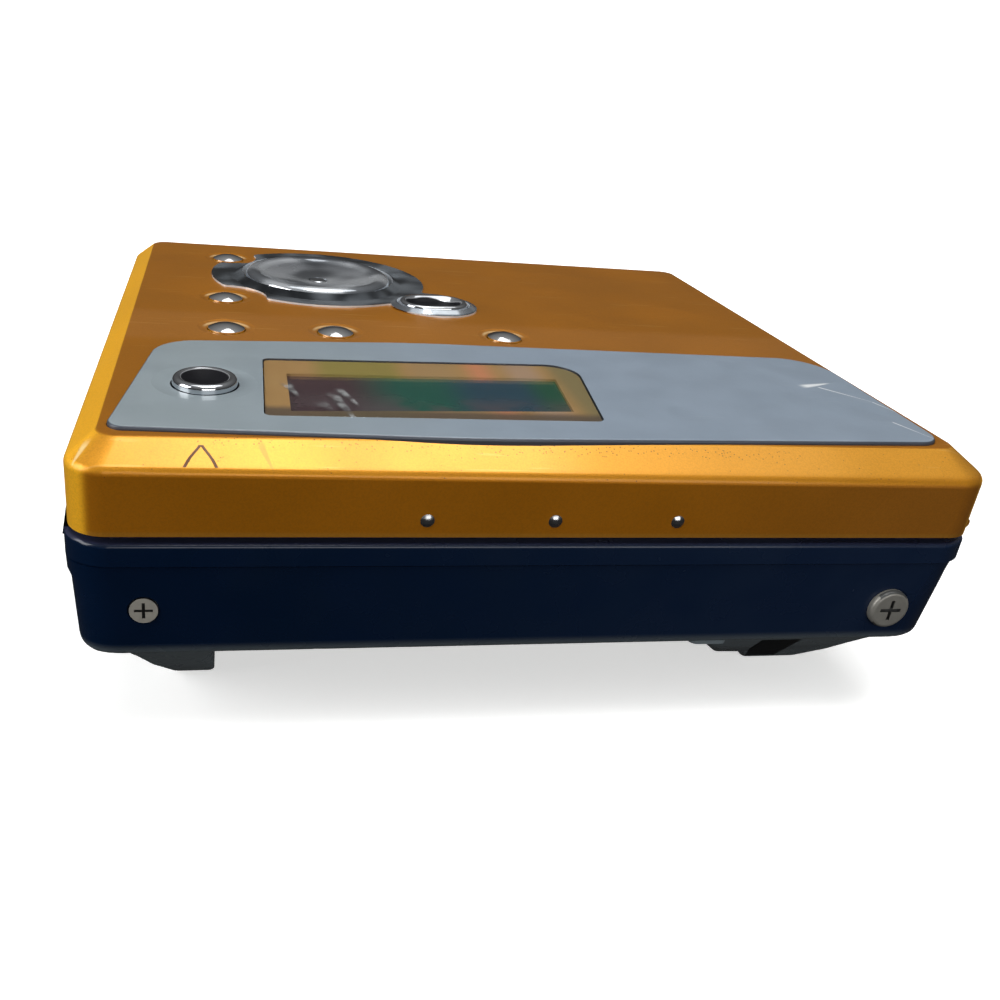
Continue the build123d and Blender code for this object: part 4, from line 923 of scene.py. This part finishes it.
def jack_rings():
    """Nickel rings in the mouths of the round jacks."""
    mesh = bmesh.new()
    for y, bore in ((-24.0, 1.8), (-14.5, 1.8), (4.0, 1.5)):
        rings = []
        for x, radius in ((-40.38, bore + 0.02), (-40.42, bore + 0.12), (-40.42, bore + 0.42),
                          (-40.36, bore + 0.5), (-39.9, bore + 0.5), (-39.9, bore + 0.02)):
            rings.append([(x, b, a + 13.8) for a, b, _ in circle(0, y, radius, 0, 48)])
        skinned(mesh, rings, closed=True)
    built("jack_rings", mesh, CONTACT, "base")


def slider_ribs():
    """Finger ribs on the hold slider."""
    mesh = bmesh.new()
    for i in range(4):
        y = 11.55 + 0.62 * i
        rings = []
        for x, half in ((-41.2, 0.2), (-41.32, 0.14), (-41.35, 0.06)):
            rings.append([(x, y + v * half, 14.0 + w * (0.75 - 0.1 * (0.2 - half)))
                          for v, w in ((-1, -1), (1, -1), (1, 1), (-1, 1))])
        skinned(mesh, rings, caps=True)
    built("slider_ribs", mesh, BLACK, "hold_switch")


def holder_arrow():
    """Insertion arrow pressed into the disc holder's roof, pointing to the back."""
    mesh = bmesh.new()
    outline = [(-0.55, -31.2), (0.55, -31.2), (0.55, -29.9), (1.3, -29.9), (0.0, -28.3), (-1.3, -29.9),
               (-0.55, -29.9)]
    rings = []
    for inset, z in ((0.0, 23.3), (0.12, 23.36), (0.25, 23.36)):
        rings.append([(x * (1 - inset), y + (-29.8 - y) * inset * 0.4, z) for x, y in outline])
    skinned(mesh, rings, caps=True)
    built("insertion_arrow", mesh, GROOVE, "holder")


def turntable_ring():
    """Steel clamp ring round the spindle's magnet."""
    ring = lathe(0.0, -1.0, [(2.35, 17.06), (3.3, 17.06), (3.3, 17.16), (3.15, 17.22), (2.5, 17.22),
                             (2.35, 17.16)], closed=True)
    built("turntable_ring", ring, GROUND, "table")


top_pieces()
window_pieces()
case_pieces()
groove_mark()
screw_thread()
board_details()
under_screws()
jack_rings()
slider_ribs()
holder_arrow()
turntable_ring()


# ------------------------------------------------------------------ studio

def studio_floor():
    """Pale sweep: a flat floor that rises into a wall all round, kept out of mirror reflections."""
    flat, bend, wall, turns, bends = 1.2, 0.8, 1.4, 96, 12
    profile = [(0.0, 0.0), (flat, 0.0)]
    for step in range(1, bends + 1):
        angle = math.radians(90 * step / bends)
        profile.append((flat + bend * math.sin(angle), bend * (1 - math.cos(angle))))
    profile.append((flat + bend, bend + wall))
    mesh = bmesh.new()
    rings = []
    for radius, height in profile[1:]:
        ring = []
        for turn in range(turns):
            angle = 2 * math.pi * turn / turns
            ring.append(mesh.verts.new((radius * math.cos(angle), radius * math.sin(angle), height)))
        rings.append(ring)
    mesh.faces.new(rings[0])
    for low, high in zip(rings, rings[1:]):
        for turn in range(turns):
            after = (turn + 1) % turns
            mesh.faces.new((low[turn], high[turn], high[after], low[after]))
    data = bpy.data.meshes.new("studio_floor")
    mesh.to_mesh(data)
    mesh.free()
    data.polygons.foreach_set("use_smooth", [True] * len(data.polygons))
    floor = bpy.data.objects.new("studio_floor", data)
    bpy.context.scene.collection.objects.link(floor)
    paper = Finish("floor_paper", (0.88, 0.88, 0.87), 0.9, Specular_IOR_Level=0.1,
                   Emission_Color=(1, 1, 0.99, 1), Emission_Strength=0.4)
    paper.colour(paper.mixed(paper.noise(0.4, 2), (0.87, 0.87, 0.865), (0.9, 0.9, 0.895)))
    away = paper.node("ShaderNodeVectorMath", {0: paper.place}, operation="LENGTH").outputs["Value"]
    paper.link(paper.span(away, 0.04, 0.3, 0.55, 1.15), "Emission Strength")
    data.materials.append(paper.material)
    floor.visible_glossy = False
    floor.visible_diffuse = False


def soft_light(name, place, target, size, power):
    """White area light at the place, turned to the target."""
    light = bpy.data.lights.new(name, "AREA")
    light.shape = "RECTANGLE"
    light.size, light.size_y = size
    light.energy = power
    light.color = (1, 1, 1)
    lamp = bpy.data.objects.new(name, light)
    lamp.location = place
    lamp.rotation_euler = (Vector(target) - Vector(place)).to_track_quat("-Z", "Y").to_euler()
    lamp.visible_camera = False
    bpy.context.scene.collection.objects.link(lamp)


def studio_world():
    """Soft room: dark below the horizon, grey at it, lighter overhead."""
    world = bpy.data.worlds.new("studio_world")
    bpy.context.scene.world = world
    world.use_nodes = True
    tree = world.node_tree
    direction = tree.nodes.new("ShaderNodeTexCoord")
    split = tree.nodes.new("ShaderNodeSeparateXYZ")
    ramp = tree.nodes.new("ShaderNodeValToRGB")
    shift = tree.nodes.new("ShaderNodeMath")
    shift.operation = "MULTIPLY_ADD"
    shift.inputs[1].default_value = 0.5
    shift.inputs[2].default_value = 0.5
    tree.links.new(direction.outputs["Generated"], split.inputs[0])
    tree.links.new(split.outputs["Z"], shift.inputs[0])
    tree.links.new(shift.outputs[0], ramp.inputs[0])
    tree.links.new(ramp.outputs[0], tree.nodes["Background"].inputs["Color"])
    stops = ramp.color_ramp.elements
    stops[0].position, stops[0].color = 0.0, (0.015, 0.015, 0.015, 1)
    stops[1].position, stops[1].color = 1.0, (0.34, 0.34, 0.34, 1)
    for position, grey in ((0.47, 0.03), (0.5, 0.05), (0.6, 0.08), (0.72, 0.12), (0.85, 0.2)):
        stop = stops.new(position)
        stop.color = (grey, grey, grey, 1)
    tree.nodes["Background"].inputs["Strength"].default_value = 1.0


def photo_camera():
    """The photograph's viewpoint: from the front left, a little above, slightly rolled."""
    yaw, pitch, roll = math.radians(12.979), math.radians(25.504), math.radians(6.18)
    ahead = Vector((math.sin(yaw) * math.cos(pitch), math.cos(yaw) * math.cos(pitch), -math.sin(pitch)))
    level = Vector((math.cos(yaw), -math.sin(yaw), 0))
    upright = level.cross(ahead)
    right = math.cos(roll) * level + math.sin(roll) * upright
    up = math.cos(roll) * upright - math.sin(roll) * level
    lens = bpy.data.cameras.new("photo_camera")
    lens.sensor_width = 36
    lens.lens = 35.587
    lens.shift_x = 0.07
    lens.clip_start = 0.005
    camera = bpy.data.objects.new("photo_camera", lens)
    turn = Matrix((right, up, -ahead)).transposed().to_4x4()
    camera.matrix_world = Matrix.Translation((-28.352 * MM, -107.754 * MM, 58.555 * MM)) @ turn
    bpy.context.scene.collection.objects.link(camera)
    bpy.context.scene.camera = camera


studio_floor()
studio_world()
soft_light("overhead", (0.03, -0.08, 0.5), (0, -0.02, 0.02), (0.28, 0.22), 1.0)
soft_light("left_fill", (-0.45, -0.12, 0.24), (0, 0, 0.02), (0.3, 0.3), 1.6)
soft_light("front_fill", (0.12, -0.6, 0.2), (0, 0, 0.02), (0.5, 0.25), 1.0)
soft_light("floor_wash", (0.1, 0.1, 1.4), (0, 0, 0), (1.2, 1.2), 6.0)
photo_camera()
bpy.context.scene.view_settings.view_transform = "Standard"
